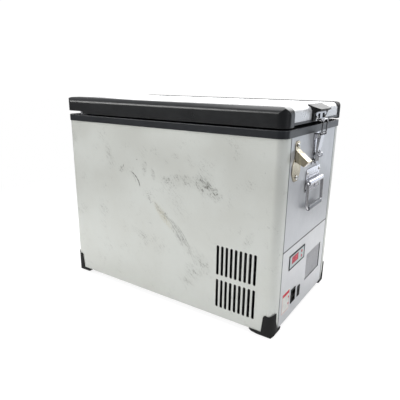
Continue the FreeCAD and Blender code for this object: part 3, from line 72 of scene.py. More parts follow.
# ---------------------------------------------------------------- node helpers
class Graph:
    """The nodes of one material, added by short calls that take values or sockets."""

    def __init__(self, name):
        self.material = bpy.data.materials.new(name)
        self.material.use_nodes = True
        self.tree = self.material.node_tree
        self.shader = self.tree.nodes["Principled BSDF"]
        self.place = self.add("ShaderNodeTexCoord").outputs["Object"]

    def add(self, kind, inputs=None, **settings):
        node = self.tree.nodes.new(kind)
        for key, value in settings.items():
            setattr(node, key, value)
        for key, value in (inputs or {}).items():
            self.feed(node.inputs[key], value)
        return node

    def feed(self, socket, value):
        if isinstance(value, bpy.types.NodeSocket):
            self.tree.links.new(value, socket)
        else:
            socket.default_value = value

    def set(self, **values):
        """Values or sockets for the shader's own inputs, with _ for a space."""
        for key, value in values.items():
            self.feed(self.shader.inputs[key.replace("_", " ")], value)

    def math(self, operation, a, b=0.0, c=0.0, clamp=False):
        node = self.add("ShaderNodeMath", {0: a, 1: b, 2: c}, operation=operation, use_clamp=clamp)
        return node.outputs[0]

    def total(self, values):
        result = values[0]
        for value in values[1:]:
            result = self.math("ADD", result, value)
        return result

    def ramp(self, value, low, high, to_low=0.0, to_high=1.0):
        """Maps low..high to to_low..to_high, eased at both ends."""
        node = self.add("ShaderNodeMapRange", {"Value": value, "From Min": low, "From Max": high,
                                               "To Min": to_low, "To Max": to_high})
        node.interpolation_type = "SMOOTHSTEP"
        return node.outputs["Result"]

    def mix(self, share, a, b):
        node = self.add("ShaderNodeMix", data_type="RGBA")
        for socket, value in ((node.inputs[0], share), (node.inputs[6], a), (node.inputs[7], b)):
            self.feed(socket, value)
        return node.outputs[2]

    def stretched(self, scale, turn=(0.0, 0.0, 0.0), place=(0.0, 0.0, 0.0)):
        """The object's coordinates moved to a place, turned and divided by a size on each axis."""
        return self.add("ShaderNodeMapping", {"Vector": self.place, "Location": place, "Rotation": turn,
                                              "Scale": scale}, vector_type="TEXTURE").outputs[0]

    def noise(self, size, detail=3.0, roughness=0.55, vector=None):
        """Noise with features of about that size in metres."""
        node = self.add("ShaderNodeTexNoise", {"Vector": vector or self.place, "Scale": 1.0 / size,
                                               "Detail": detail, "Roughness": roughness})
        return node.outputs[0]

    def axes(self, vector=None):
        node = self.add("ShaderNodeSeparateXYZ", {0: vector or self.place})
        return node.outputs[0], node.outputs[1], node.outputs[2]

    def relief(self, height, depth, edge=0.0):
        """Bump of that depth in metres, on normals rounded at edges by that radius."""
        bump = self.add("ShaderNodeBump", {"Height": height, "Strength": 1.0, "Distance": depth})
        if edge:
            rounded = self.add("ShaderNodeBevel", {"Radius": edge}, samples=6)
            self.feed(bump.inputs["Normal"], rounded.outputs[0])
        self.set(Normal=bump.outputs[0])

    def crevice_shade(self, distance):
        """Mask for painted shade: 1 where other surfaces stand close, 0 in the open."""
        node = self.add("ShaderNodeAmbientOcclusion", {"Distance": distance}, samples=8)
        return self.ramp(node.outputs["AO"], 0.85, 0.35)

    def worn_edges(self, radius, low, high):
        """0 on flat ground to 1 on sharp edges: where rounded and true normals differ."""
        rounded = self.add("ShaderNodeBevel", {"Radius": radius}, samples=6).outputs[0]
        true = self.add("ShaderNodeNewGeometry").outputs["Normal"]
        facing = self.add("ShaderNodeVectorMath", {0: rounded, 1: true}, operation="DOT_PRODUCT")
        return self.ramp(facing.outputs["Value"], high, low)


def grey(value, warm=0.0, green=0.0):
    """A grey in linear light; warm tips it to yellow, below zero to blue, and green to green."""
    return (value * (1 + warm), value * (1 + warm * 0.3 + green), value * (1 - warm), 1.0)


# ---------------------------------------------------------------- scuffs on the front sheet
# x, z, half length, half height, degrees anticlockwise, strength
SMUDGES = (
    (-0.190, 0.405, 0.014, 0.045, 12, 0.32),
    (-0.142, 0.372, 0.014, 0.011, 20, 0.55),
    (-0.057, 0.383, 0.009, 0.026, -8, 0.42),
    (-0.027, 0.371, 0.008, 0.020, 14, 0.42),
    (0.049, 0.429, 0.014, 0.008, 0, 0.28),
    (0.027, 0.358, 0.038, 0.016, -4, 0.40),
    (0.092, 0.366, 0.034, 0.018, 8, 0.34),
    (0.138, 0.376, 0.030, 0.032, -35, 0.50),
    (0.150, 0.356, 0.048, 0.022, -28, 0.60),
    (0.135, 0.368, 0.020, 0.012, 5, 0.45),
    (0.060, 0.374, 0.040, 0.010, 6, 0.40),
    (0.176, 0.344, 0.016, 0.012, -40, 0.55),
    (-0.043, 0.306, 0.010, 0.012, 20, 0.40),
    (-0.012, 0.280, 0.020, 0.007, -50, 0.50),
    (0.012, 0.262, 0.018, 0.011, -46, 0.55),
    (0.070, 0.205, 0.055, 0.017, -52, 0.42),
    (0.131, 0.158, 0.034, 0.022, -45, 0.55),
    (0.104, 0.120, 0.030, 0.026, -45, 0.40),
    (0.085, 0.089, 0.030, 0.014, -10, 0.30),
    (-0.074, 0.189, 0.036, 0.014, -20, 0.36),
    (-0.014, 0.155, 0.022, 0.018, 5, 0.14),
    (-0.222, 0.234, 0.020, 0.022, 30, 0.28),
    (0.266, 0.246, 0.012, 0.026, -20, 0.34),
    (0.260, 0.380, 0.018, 0.014, 0, 0.14),
    (-0.334, 0.447, 0.010, 0.024, 20, 0.22),
    (0.055, 0.300, 0.030, 0.050, 30, 0.16),
)
# middle x, z, half length, half width, bow, degrees anticlockwise, strength
SCRATCHES = (
    (-0.087, 0.354, 0.030, 0.0015, 0.30, -50, 0.95),
    (-0.082, 0.349, 0.020, 0.0009, 0.25, -56, 0.70),
    (-0.094, 0.352, 0.014, 0.0008, 0.25, -60, 0.45),
    (-0.138, 0.378, 0.012, 0.0010, -0.40, 48, 0.65),
    (-0.146, 0.370, 0.009, 0.0009, -0.30, 60, 0.50),
    (0.052, 0.232, 0.050, 0.0008, 0.14, -50, 0.80),
    (0.061, 0.227, 0.046, 0.0007, 0.10, -52, 0.70),
    (0.072, 0.222, 0.034, 0.0007, 0.08, -53, 0.65),
    (0.057, 0.216, 0.034, 0.0008, 0.06, -54, 0.65),
    (0.062, 0.204, 0.026, 0.0007, 0.02, -58, 0.55),
    (0.083, 0.197, 0.040, 0.0006, 0.04, -57, 0.50),
    (0.093, 0.190, 0.030, 0.0006, 0.00, -60, 0.40),
    (0.102, 0.163, 0.030, 0.0006, 0.00, -62, 0.35),
    (0.028, 0.249, 0.034, 0.0007, 0.10, -44, 0.50),
    (-0.012, 0.282, 0.022, 0.0007, 0.20, -52, 0.55),
    (-0.004, 0.272, 0.012, 0.0007, 0.30, -20, 0.55),
    (-0.040, 0.298, 0.012, 0.0008, 0.40, -60, 0.50),
    (-0.034, 0.292, 0.008, 0.0007, -0.40, 30, 0.45),
    (-0.084, 0.405, 0.002, 0.0014, 0.00, 0, 0.70),
    (0.300, 0.418, 0.001, 0.0009, 0.00, 0, 0.60),
)
DIRT_TURN = radians(-42)


def patch(graph, x, z, half_length, half_height, turn, strength):
    """Soft oval on the front sheet, strongest in its middle."""
    local = graph.stretched((half_length, 1000.0, half_height), (0, -radians(turn), 0), (x, 0, z))
    reach = graph.add("ShaderNodeVectorMath", {0: local}, operation="LENGTH").outputs["Value"]
    return graph.ramp(reach, 1.25, 0.15, 0.0, strength)


def scuff_mask(graph):
    """Rub marks and scratches, 0 to 1, over the front sheet."""
    streaks = graph.noise(0.0055, 4.0, 0.65, graph.stretched((2.6, 1.0, 0.5), (0, -DIRT_TURN, 0)))
    grains = graph.noise(0.0030, 3.0, 0.6)
    rubbed = graph.math("MULTIPLY", graph.ramp(streaks, 0.49, 0.61), graph.ramp(grains, 0.40, 0.58))
    smudged = graph.total([patch(graph, *smudge) for smudge in SMUDGES])
    cloudy = graph.math("MULTIPLY", graph.math("MULTIPLY", smudged, rubbed), 1.5)
    haze = graph.math("MULTIPLY", smudged, 0.12)
    regions = graph.ramp(graph.noise(0.05, 3.0, 0.6), 0.50, 0.72, 0.0, 0.32)
    everywhere = graph.math("MULTIPLY", regions, rubbed)
    lines = []
    for x, z, half_length, half_width, bow, turn, strength in SCRATCHES:
        local = graph.stretched((half_length, 1000.0, half_length), (0, -radians(turn), 0), (x, 0, z))
        along, _, across = graph.axes(local)
        bent = graph.math("MULTIPLY_ADD", graph.math("MULTIPLY", along, along), bow, across)
        width = half_width / half_length
        line = graph.ramp(graph.math("ABSOLUTE", bent), width * 1.6, width * 0.3, 0.0, strength)
        ends = graph.ramp(graph.math("ABSOLUTE", along), 1.0, 0.55)
        lines.append(graph.math("MULTIPLY", line, ends))
    broken = graph.ramp(graph.noise(0.0045, 3.0, 0.6), 0.40, 0.56, 0.30, 1.0)
    drawn = graph.math("MULTIPLY", graph.total(lines), broken)
    marks = graph.math("MAXIMUM", graph.total([cloudy, haze, everywhere]), drawn)
    return graph.math("MINIMUM", marks, 0.85, clamp=True)


# ---------------------------------------------------------------- materials
SEAM_Y = (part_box("control_cover")[1].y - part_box("front_side_panel")[1].y) / 2
COVER_SEAM_Z = (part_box("control_cover")[1].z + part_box("end_panel_right")[0].z) / 2


def steel_sheet(name, tone, warm, metal, rough, green=0.0, texture=1.0, scuffed=False):
    """Satin steel sheet with fine dimples, faint stains, painted shadow beside its seams, and scuffs if
    asked.
    """
    graph = Graph(name)
    clouds = graph.noise(0.16, 4.0, 0.6)
    dimples = graph.noise(0.0012, 2.0, 0.5)
    specks = graph.ramp(graph.noise(0.0022, 2.0, 0.7), 0.66, 0.74)
    base = graph.mix(graph.ramp(clouds, 0.3, 0.7), grey(tone * 0.955, warm, green),
                     grey(tone * 1.03, warm * 0.5, green))
    base = graph.mix(graph.ramp(dimples, 0.25, 0.75, 0.0, 0.10 * texture), base, grey(tone * 0.72, warm))
    base = graph.mix(graph.math("MULTIPLY", specks, 0.16 * texture), base, grey(tone * 0.45))
    if scuffed:
        streaked = graph.ramp(graph.noise(0.004, 3.0, 0.6), 0.35, 0.62)
        ochre = graph.math("MULTIPLY", patch(graph, 0.004, 0.262, 0.052, 0.013, -47, 0.45), streaked)
        base = graph.mix(ochre, base, (0.48, 0.42, 0.24, 1.0))
        base = graph.mix(scuff_mask(graph), base, (0.075, 0.072, 0.058, 1.0))
    # painted shadow beside the seams
    base = seam_shadow(graph, base)
    graph.set(Base_Color=base, Metallic=metal,
              Roughness=graph.ramp(clouds, 0.25, 0.75, rough - 0.05, rough + 0.06))
    graph.relief(dimples, 0.00006 * texture, 0.0006)
    return graph.material


def seam_shadow(graph, base, heights=()):
    """Paints shadow on a sheet beside the open seams between the panels."""
    _, y, z = graph.axes()
    across = graph.math("ABSOLUTE", graph.math("SUBTRACT", graph.math("ABSOLUTE", y), SEAM_Y))
    beside = [graph.ramp(across, 2.6 * MM, 1.3 * MM)]
    for height in heights:
        up = graph.math("ABSOLUTE", graph.math("SUBTRACT", z, height))
        inner = graph.ramp(graph.math("ABSOLUTE", y), SEAM_Y, SEAM_Y - MM)
        beside.append(graph.math("MULTIPLY", graph.ramp(up, 2.4 * MM, 1.2 * MM), inner))
    uneven = graph.ramp(graph.noise(0.02, 4.0, 0.6), 0.3, 0.7, 0.80, 0.97)
    # painted shadow: a dark band along each seam, uneven in strength
    painted_shade = graph.math("MULTIPLY", graph.total(beside), uneven, clamp=True)
    return graph.mix(painted_shade, base, grey(0.025, -0.1))


def brushed_sheet(name, tone, warm, metal, rough):
    """Stainless sheet brushed upright, with painted shadow along its seams and painted shade close to other
    pieces.
    """
    graph = Graph(name)
    lines = graph.noise(0.0007, 3.0, 0.6, graph.stretched((1.0, 1.0, 40.0)))
    clouds = graph.noise(0.11, 4.0, 0.6)
    base = graph.mix(graph.ramp(lines, 0.3, 0.7), grey(tone * 0.94, warm), grey(tone * 1.04, warm))
    base = graph.mix(graph.ramp(clouds, 0.3, 0.75, 0.0, 0.35), base, grey(tone * 0.86, warm))
    wiped = graph.ramp(graph.noise(0.03, 5.0, 0.7), 0.35, 0.7, rough - 0.05, rough + 0.07)
    # painted shadow beside the seams, also along the cover's top edge
    base = seam_shadow(graph, base, [COVER_SEAM_Z])
    # painted shade: near-black where other pieces stand close
    base = graph.mix(graph.math("MULTIPLY", graph.crevice_shade(0.006), 0.75), base, grey(0.06, -0.1))
    graph.set(Base_Color=base, Metallic=metal, Roughness=wiped)
    graph.relief(lines, 0.00003, 0.0005)
    return graph.material


def moulded(name, tone, rough, specular=0.4, warm=0.0, grain=0.0009, depth=0.00008, edge=0.0009,
            wear=0.16, mottle=0.1):
    """Moulded plastic: fine leather grain, slightly uneven gloss and edges rubbed paler."""
    graph = Graph(name)
    pebbles = graph.add("ShaderNodeTexVoronoi", {"Vector": graph.place, "Scale": 1.0 / grain},
                        feature="SMOOTH_F1").outputs["Distance"]
    clouds = graph.noise(0.05, 4.0, 0.65)
    worn = graph.worn_edges(edge * 1.6, 0.90, 0.995)
    rubbed = graph.math("MULTIPLY", worn, graph.ramp(clouds, 0.35, 0.65))
    base = graph.mix(graph.ramp(clouds, 0.3, 0.7), grey(tone * (1 - mottle), warm),
                     grey(tone * (1 + mottle), warm))
    base = graph.mix(graph.math("MULTIPLY", rubbed, wear), base, grey(min(1.0, tone * 3 + 0.12), warm))
    graph.set(Base_Color=base, Roughness=graph.ramp(clouds, 0.25, 0.75, rough - 0.02, rough + 0.03),
              Specular_IOR_Level=specular)
    graph.relief(pebbles, depth, edge)
    return graph.material


def plated(name, colour, rough, stain=0.2, edge=0.0004, pitted=0.15, painted_shade=0.85):
    """Plated or polished metal with wipe marks, dull stains, pits and painted shade in its crevices."""
    graph = Graph(name)
    wipes = graph.noise(0.0011, 3.0, 0.6, graph.stretched((1.0, 3.0, 1.0), (0.4, 0.2, 0.9)))
    stains = graph.ramp(graph.noise(0.012, 5.0, 0.7), 0.50, 0.78)
    pits = graph.ramp(graph.noise(0.0018, 3.0, 0.7), 0.68, 0.80)
    dull = tuple(c * 0.6 for c in colour[:3]) + (1.0,)
    base = graph.mix(graph.math("MULTIPLY", stains, stain), colour, dull)
    base = graph.mix(graph.math("MULTIPLY", pits, pitted), base, (0.10, 0.075, 0.05, 1.0))
    # painted shade: dark brown where other surfaces stand close, scaled by painted_shade
    if painted_shade:
        base = graph.mix(graph.math("MULTIPLY", graph.crevice_shade(0.008), painted_shade), base,
                         (0.035, 0.028, 0.022, 1.0))
    uneven = graph.math("MULTIPLY_ADD", stains, 0.10, graph.ramp(wipes, 0.3, 0.7, rough, rough + 0.05))
    graph.set(Base_Color=base, Metallic=1.0, Roughness=uneven)
    graph.relief(wipes, 0.000004, edge)
    return graph.material


def lacquered(name, colour, rough, coat=0.0, specular=0.5, depth=0.00004, glow=0.0):
    """Painted or printed parts and coloured plastics, with a slight orange peel."""
    graph = Graph(name)
    peel = graph.noise(0.0018, 3.0, 0.5)
    clouds = graph.noise(0.02, 4.0, 0.6)
    darker = tuple(c * 0.82 for c in colour[:3]) + (1.0,)
    graph.set(Base_Color=graph.mix(graph.ramp(clouds, 0.3, 0.75), colour, darker),
              Roughness=graph.ramp(clouds, 0.25, 0.75, rough - 0.04, rough + 0.07))
    graph.shader.inputs["Specular IOR Level"].default_value = specular
    graph.shader.inputs["Coat Weight"].default_value = coat
    if glow:
        graph.shader.inputs["Emission Color"].default_value = colour
        graph.shader.inputs["Emission Strength"].default_value = glow
    graph.relief(peel, depth, 0.0004)
    return graph.material


def foamed(name, colour, piece):
    """Rigid polyurethane foam, cellular and slightly mottled, with a near-black band on its outside that
    paints shadow into the seam gaps.
    """
    graph = Graph(name)
    cells = graph.add("ShaderNodeTexVoronoi", {"Vector": graph.place, "Scale": 700.0}).outputs["Distance"]
    clouds = graph.noise(0.03, 4.0, 0.6)
    darker = tuple(c * 0.72 for c in colour[:3]) + (1.0,)
    low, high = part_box(piece)
    x, y, _ = graph.axes()
    depths = [graph.math("SUBTRACT", half, graph.math("ABSOLUTE", graph.math("SUBTRACT", value, middle)))
              for value, half, middle in ((x, (high.x - low.x) / 2, (high.x + low.x) / 2),
                                          (y, (high.y - low.y) / 2, (high.y + low.y) / 2))]
    # painted shadow: near-black within 8 to 10 mm of the foam's outer sides, seen through the seams
    gap_shadow = graph.ramp(graph.math("MINIMUM", *depths), 0.010, 0.008)
    base = graph.mix(graph.ramp(clouds, 0.3, 0.7), colour, darker)
    graph.set(Base_Color=graph.mix(gap_shadow, base, (0.012, 0.012, 0.013, 1.0)))
    graph.shader.inputs["Roughness"].default_value = 0.9
    graph.relief(cells, 0.0005)
    return graph.material


def band(graph, value, low, high, soft=0.00015):
    """1 between two values, 0 outside."""
    rising = graph.ramp(value, low - soft, low + soft)
    falling = graph.ramp(value, high - soft, high + soft, 1.0, 0.0)
    return graph.math("MULTIPLY", rising, falling)


LABEL_MARGIN, LABEL_CORE, LABEL_HEADER = 2 * MM, 3.2 * MM, 11 * MM
LABEL_DOTS, DOT_INSET = (22 * MM, 41 * MM), 6 * MM
LABEL_ROW = 4.4 * MM


def printed_label(name):
    """White sticker with a red header, a thin border, ruled rows and two dots; no words."""
    low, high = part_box("label_plate")
    graph = Graph(name)
    _, y, z = graph.axes()
    header = band(graph, z, high.z - LABEL_HEADER, high.z - LABEL_MARGIN)
    header = graph.math("MULTIPLY", header, band(graph, y, low.y + LABEL_MARGIN, high.y - LABEL_MARGIN))
    inside = graph.math("MULTIPLY", band(graph, y, low.y + LABEL_MARGIN, high.y - LABEL_MARGIN),
                        band(graph, z, low.z + LABEL_MARGIN, high.z - LABEL_MARGIN))
    core = graph.math("MULTIPLY", band(graph, y, low.y + LABEL_CORE, high.y - LABEL_CORE),
                      band(graph, z, low.z + LABEL_CORE, high.z - LABEL_CORE))
    border = graph.math("SUBTRACT", inside, core, clamp=True)
    dots = []
    for height in LABEL_DOTS:
        across = graph.math("SUBTRACT", y, high.y - DOT_INSET)
        upward = graph.math("SUBTRACT", z, high.z - height)
        reach = graph.math("SQRT", graph.math("ADD", graph.math("MULTIPLY", across, across),
                                              graph.math("MULTIPLY", upward, upward)))
        dots.append(graph.ramp(reach, 3.6 * MM, 3.0 * MM))
    row = graph.math("FRACT", graph.math("MULTIPLY", z, 1 / LABEL_ROW))
    rows = graph.math("MULTIPLY", band(graph, row, 0.40, 0.55, 0.04),
                      graph.math("MULTIPLY", band(graph, y, low.y + 6 * MM, high.y - 14 * MM),
                                 band(graph, z, low.z + 8 * MM, high.z - 15 * MM)))
    red = graph.math("MAXIMUM", header, graph.total(dots), clamp=True)
    aged = graph.noise(0.02, 4.0, 0.6)
    paper = graph.mix(graph.ramp(aged, 0.3, 0.7), (0.78, 0.78, 0.74, 1.0), (0.68, 0.68, 0.64, 1.0))
    paper = graph.mix(graph.math("MULTIPLY", rows, 0.45), paper, (0.35, 0.35, 0.35, 1.0))
    paper = graph.mix(graph.math("MULTIPLY", border, 0.85), paper, (0.62, 0.10, 0.12, 1.0))
    graph.set(Base_Color=graph.mix(red, paper, (0.58, 0.015, 0.04, 1.0)))
    graph.shader.inputs["Specular IOR Level"].default_value = 0.15
    graph.shader.inputs["Roughness"].default_value = 0.42
    graph.relief(aged, 0.0001, 0.0002)
    return graph.material


def circuit_board(name):
    """Green board with copper tracks."""
    graph = Graph(name)
    tracks = graph.add("ShaderNodeTexBrick", {"Vector": graph.place, "Scale": 90.0, "Mortar Size": 0.03})
    base = graph.mix(tracks.outputs["Fac"], (0.015, 0.09, 0.03, 1.0), (0.20, 0.30, 0.10, 1.0))
    graph.set(Base_Color=base)
    graph.shader.inputs["Roughness"].default_value = 0.35
    graph.relief(tracks.outputs["Fac"], 0.00005, 0.0003)
    return graph.material


SILVER, NICKEL, CHROME = (0.80, 0.80, 0.79, 1.0), (0.64, 0.57, 0.43, 1.0), (0.56, 0.56, 0.58, 1.0)
BRASS, COPPER, ALUMINIUM = (0.80, 0.62, 0.30, 1.0), (0.85, 0.45, 0.30, 1.0), (0.70, 0.71, 0.72, 1.0)


def paint_cad_nodes():
    """Gives each CAD node its material."""
    rail = moulded("rail_grained_plastic", 0.010, 0.29, 0.50, warm=-0.10, depth=0.00003, edge=0.0012,
                   wear=0.06)
    # The rear rail is the same plastic as the front one: this darker, duller copy is painted shade that
    # keeps its far edge a dark line.
    shaded_rear_rail = moulded("rear_rail_plastic_shaded", 0.007, 0.50, 0.10, warm=-0.06, depth=0.00003, edge=0.0012,
                        wear=0.06)
    collar = moulded("collar_plastic", 0.017, 0.30, 0.50, warm=-0.16, edge=0.0010, wear=0.06)
    guard = moulded("corner_guard_plastic", 0.020, 0.50, 0.10, edge=0.0012, wear=0.08)
    glossy = moulded("glossy_black_plastic", 0.006, 0.45, 0.10, edge=0.0004, wear=0.05)
    bracket = moulded("bracket_plastic", 0.012, 0.40, 0.22, edge=0.0008)
    liner = moulded("white_liner_plastic", 0.70, 0.34, 0.5, warm=0.01, edge=0.0010, depth=0.00002, wear=0.0,
                    mottle=0.02)
    # The end panels and the control cover take one brushed steel in two tones: the end panels' darker tone
    # is painted shade.
    shaded_end_steel = brushed_sheet("end_brushed_steel_shaded", 0.61, -0.03, 0.45, 0.34)
    cover_steel = brushed_sheet("cover_brushed_steel", 0.70, -0.015, 0.45, 0.34)
    chrome = plated("bright_chrome", CHROME, 0.07, painted_shade=0.95)
    pressed = plated("zinc_plated_steel", (0.90, 0.90, 0.95, 1.0), 0.16)
    screws = plated("screw_steel", SILVER, 0.20, 0.60, 0.0003, painted_shade=0.95)
    foam_colour = (0.72, 0.62, 0.38, 1.0)
    black_paint = lacquered("black_lacquered_steel", (0.012, 0.012, 0.013, 1.0), 0.30, 0.2)
    by_material = {
        steel_sheet("front_satin_steel", 0.67, 0.022, 0.35, 0.42, 0.035, scuffed=True): [
            "front_side_panel"],
        steel_sheet("rear_satin_steel", 0.67, 0.022, 0.35, 0.42, 0.035): ["rear_side_panel"],
        shaded_end_steel: ["end_panel_left", "end_panel_right"],
        cover_steel: ["control_cover"],
        steel_sheet("lid_satin_steel", 0.75, -0.02, 0.45, 0.30, texture=0.3): ["lid_top_sheet"],
        plated("galvanised_pan", (0.55, 0.56, 0.57, 1.0), 0.38, 0.5): ["base_pan"],
        rail: ["lid_front_rail"],
        shaded_rear_rail: ["lid_rear_rail"],
        collar: ["top_collar", "lid_end_trims"],
        guard: [f"corner_foot_{side}_{end}" for side in ("front", "rear") for end in ("left", "right")],
        glossy: ["power_socket", "switch_housing", "switch_rocker", "display_bezel", "fan_shroud",
                 "fan_rotor"],
        bracket: ["lid_bracket"],
        liner: ["inner_liner", "lid_inner_liner"],
        foamed("cabinet_foam", foam_colour, "insulation_foam"): ["insulation_foam"],
        foamed("lid_foam", foam_colour, "lid_foam"): ["lid_foam"],
        chrome: ["latch_lever", "latch_loop", "keeper", "handle_bail_right", "handle_bail_left"],
        pressed: ["latch_base", "handle_plate_right", "handle_plate_left", "hinge_leaf_cabinet",
                  "hinge_leaf_lid", "hinge_pins"],
        screws: ["cabinet_screws", "lid_screws", "latch_pin"],
        plated("nickel_opener", NICKEL, 0.19, 0.45): ["bottle_opener"],
        moulded("grip_grey_plastic", 0.14, 0.24, 0.6, warm=-0.08, edge=0.0006): ["handle_grip_right",
                                                                             "handle_grip_left"],
        moulded("vent_grid_plastic", 0.05, 0.5, 0.3, edge=0.0003): ["vent_mesh"],
        lacquered("display_face_film", (0.47, 0.55, 0.55, 1.0), 0.30, 0.3): ["display_housing"],
        lacquered("red_lens", (0.42, 0.02, 0.045, 1.0), 0.30, 0.0, 0.15, glow=0.10): ["display_window"],
        lacquered("red_key_cap", (0.62, 0.06, 0.08, 1.0), 0.35, 0.2): ["button_up", "button_down"],
        circuit_board("green_circuit_board"): ["control_board"],
        plated("contact_brass", BRASS, 0.2): ["socket_pins"],
        printed_label("printed_label"): ["label_plate"],
        lacquered("lamp_lens_plastic", (0.85, 0.86, 0.82, 1.0), 0.22, 0.3): ["interior_light"],
        black_paint: ["compressor", "condenser"],
        moulded("mount_rubber", 0.014, 0.7, 0.2): ["compressor_mounts"],
        plated("cast_aluminium", ALUMINIUM, 0.42, 0.3): ["compressor_electronics", "power_supply"],
        plated("evaporator_aluminium", ALUMINIUM, 0.3): ["evaporator"],
        plated("copper_tube", COPPER, 0.28, 0.5): ["refrigerant_tubing"],
    }
    for material, names in by_material.items():
        for name in names:
            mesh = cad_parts[name].data
            mesh.materials.clear()
            mesh.materials.append(material)
    unpainted = set(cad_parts) - {name for names in by_material.values() for name in names}
    if unpainted - {"lid_gasket"}:
        raise ValueError(f"no material for {sorted(unpainted)}")


# ---------------------------------------------------------------- pieces that the CAD keeps plain
def add_mesh(name, points, faces, material, body, smooth=True):
    mesh = bpy.data.meshes.new(name)
    mesh.from_pydata(points, [], faces)
    mesh.polygons.foreach_set("use_smooth", [smooth] * len(mesh.polygons))
    mesh.update()
    mesh.materials.append(material)
    piece = bpy.data.objects.new(name, mesh)
    bpy.context.scene.collection.objects.link(piece)
    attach(piece, body)
    return piece


GASKET_CORNER, GASKET_WIDTH = 37.5 * MM, 8.0 * MM
CORNER_STEPS = 10
# the seal's section: share of its width from outside in, share of its height from the bottom up
GASKET_SECTION = ((0.10, 0.0), (0.30, 0.0), (0.50, 0.06), (0.70, 0.0), (0.90, 0.0), (1.0, 0.12),
                  (0.98, 0.34), (0.86, 0.44), (0.90, 0.56), (1.0, 0.66), (0.97, 0.80), (0.84, 0.88),
                  (0.84, 1.0),
                  (0.16, 1.0), (0.16, 0.88), (0.03, 0.80), (0.0, 0.66), (0.10, 0.56), (0.14, 0.44),
                  (0.02, 0.34), (0.0, 0.12))


def rounded_loop(low, high, inset, corner):
    """Points round a rectangle with round corners, moved in by inset."""
    points = []
    r = corner - inset
    for turn, (cx, cy) in enumerate(((high.x - corner, high.y - corner), (low.x + corner, high.y - corner),
                                     (low.x + corner, low.y + corner), (high.x - corner, low.y + corner))):
        for step in range(CORNER_STEPS + 1):
            angle = (turn + step / CORNER_STEPS) * pi / 2
            points.append((cx + r * cos(angle), cy + r * sin(angle)))
    return points


def bellows_gasket():
    """The lid's seal with its folded section, in place of the plain CAD ring."""
    low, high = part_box("lid_gasket")
    height = high.z - low.z
    loops = [[(x, y, low.z + v * height)
              for x, y in rounded_loop(low, high, u * GASKET_WIDTH, GASKET_CORNER)]
             for u, v in GASKET_SECTION]
    count, rows = len(loops[0]), len(loops)
    points = [p for loop in loops for p in loop]
    faces = [(a * count + i, ((a + 1) % rows) * count + i, ((a + 1) % rows) * count + (i + 1) % count,
              a * count + (i + 1) % count) for a in range(rows) for i in range(count)]
    rubber = moulded("gasket_rubber", 0.012, 0.55, 0.35, edge=0.0004, wear=0.0)
    piece = add_mesh("lid_gasket_bellows", points, faces, rubber, "lid")
    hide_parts("lid_gasket")


WIRE_PITCH, WIRE_R = 1.7 * MM, 0.27 * MM
TRAY_RIM, SCREEN_DEPTH = 4.0 * MM, 1.5 * MM


def woven_screen():
    """A fine woven wire screen in the vent's recess."""
    low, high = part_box("vent_mesh")
    low_y, high_y = low.y + TRAY_RIM, high.y - TRAY_RIM
    low_z, high_z = low.z + TRAY_RIM, high.z - TRAY_RIM
    plane = high.x - SCREEN_DEPTH
    columns, rows = int((high_y - low_y) / WIRE_PITCH), int((high_z - low_z) / WIRE_PITCH)
    points, faces = [], []

    def wire(path, side):
        """A square-section wire through the points; side is the direction across it in the screen."""
        first = len(points)
        for p in path:
            for out, across in ((WIRE_R, 0), (0, WIRE_R), (-WIRE_R, 0), (0, -WIRE_R)):
                points.append(p + Vector((out, 0, 0)) + side * across)
        for i in range(len(path) - 1):
            for k in range(4):
                a, b = first + i * 4 + k, first + i * 4 + (k + 1) % 4
                faces.append((a, b, b + 4, a + 4))
        faces.append(tuple(first + k for k in (3, 2, 1, 0)))
        faces.append(tuple(len(points) - 4 + k for k in range(4)))

    for i in range(columns + 1):
        y = low_y + (high_y - low_y) * i / columns
        wire([Vector((plane + WIRE_R * (-1) ** (i + j), y, low_z + (high_z - low_z) * j / rows))
              for j in range(rows + 1)], Vector((0, 1, 0)))
    for j in range(rows + 1):
        z = low_z + (high_z - low_z) * j / rows
        wire([Vector((plane - WIRE_R * (-1) ** (i + j), low_y + (high_y - low_y) * i / columns, z))
              for i in range(columns + 1)], Vector((0, 0, -1)))
    steel = plated("screen_wire", (0.72, 0.72, 0.74, 1.0), 0.34, 0.4, painted_shade=0.0)
    add_mesh("vent_screen_wires", points, faces, steel, "cabinet")


# lit segments of each figure, lettered as on a seven-segment display
DIGIT_SEGMENTS = {"-": "g", "1": "bc", "8": "abcdefg"}
DIGIT_HEIGHT, DIGIT_STEP, SEGMENT_W = 12.0 * MM, 10.5 * MM, 1.5 * MM
SEGMENT_GAP, SEGMENT_SUNK, SEGMENT_PROUD = 0.5 * MM, 0.2 * MM, 0.06 * MM


def segment_outline(y, z, length, level):
    """A bar with pointed ends, centred on (y, z)."""
    half, w = length / 2, SEGMENT_W / 2
    outline = [(-half, 0), (-half + w, w), (half - w, w), (half, 0), (half - w, -w), (-half + w, -w)]
    return [(y + a, z + b) if level else (y - b, z + a) for a, b in outline]


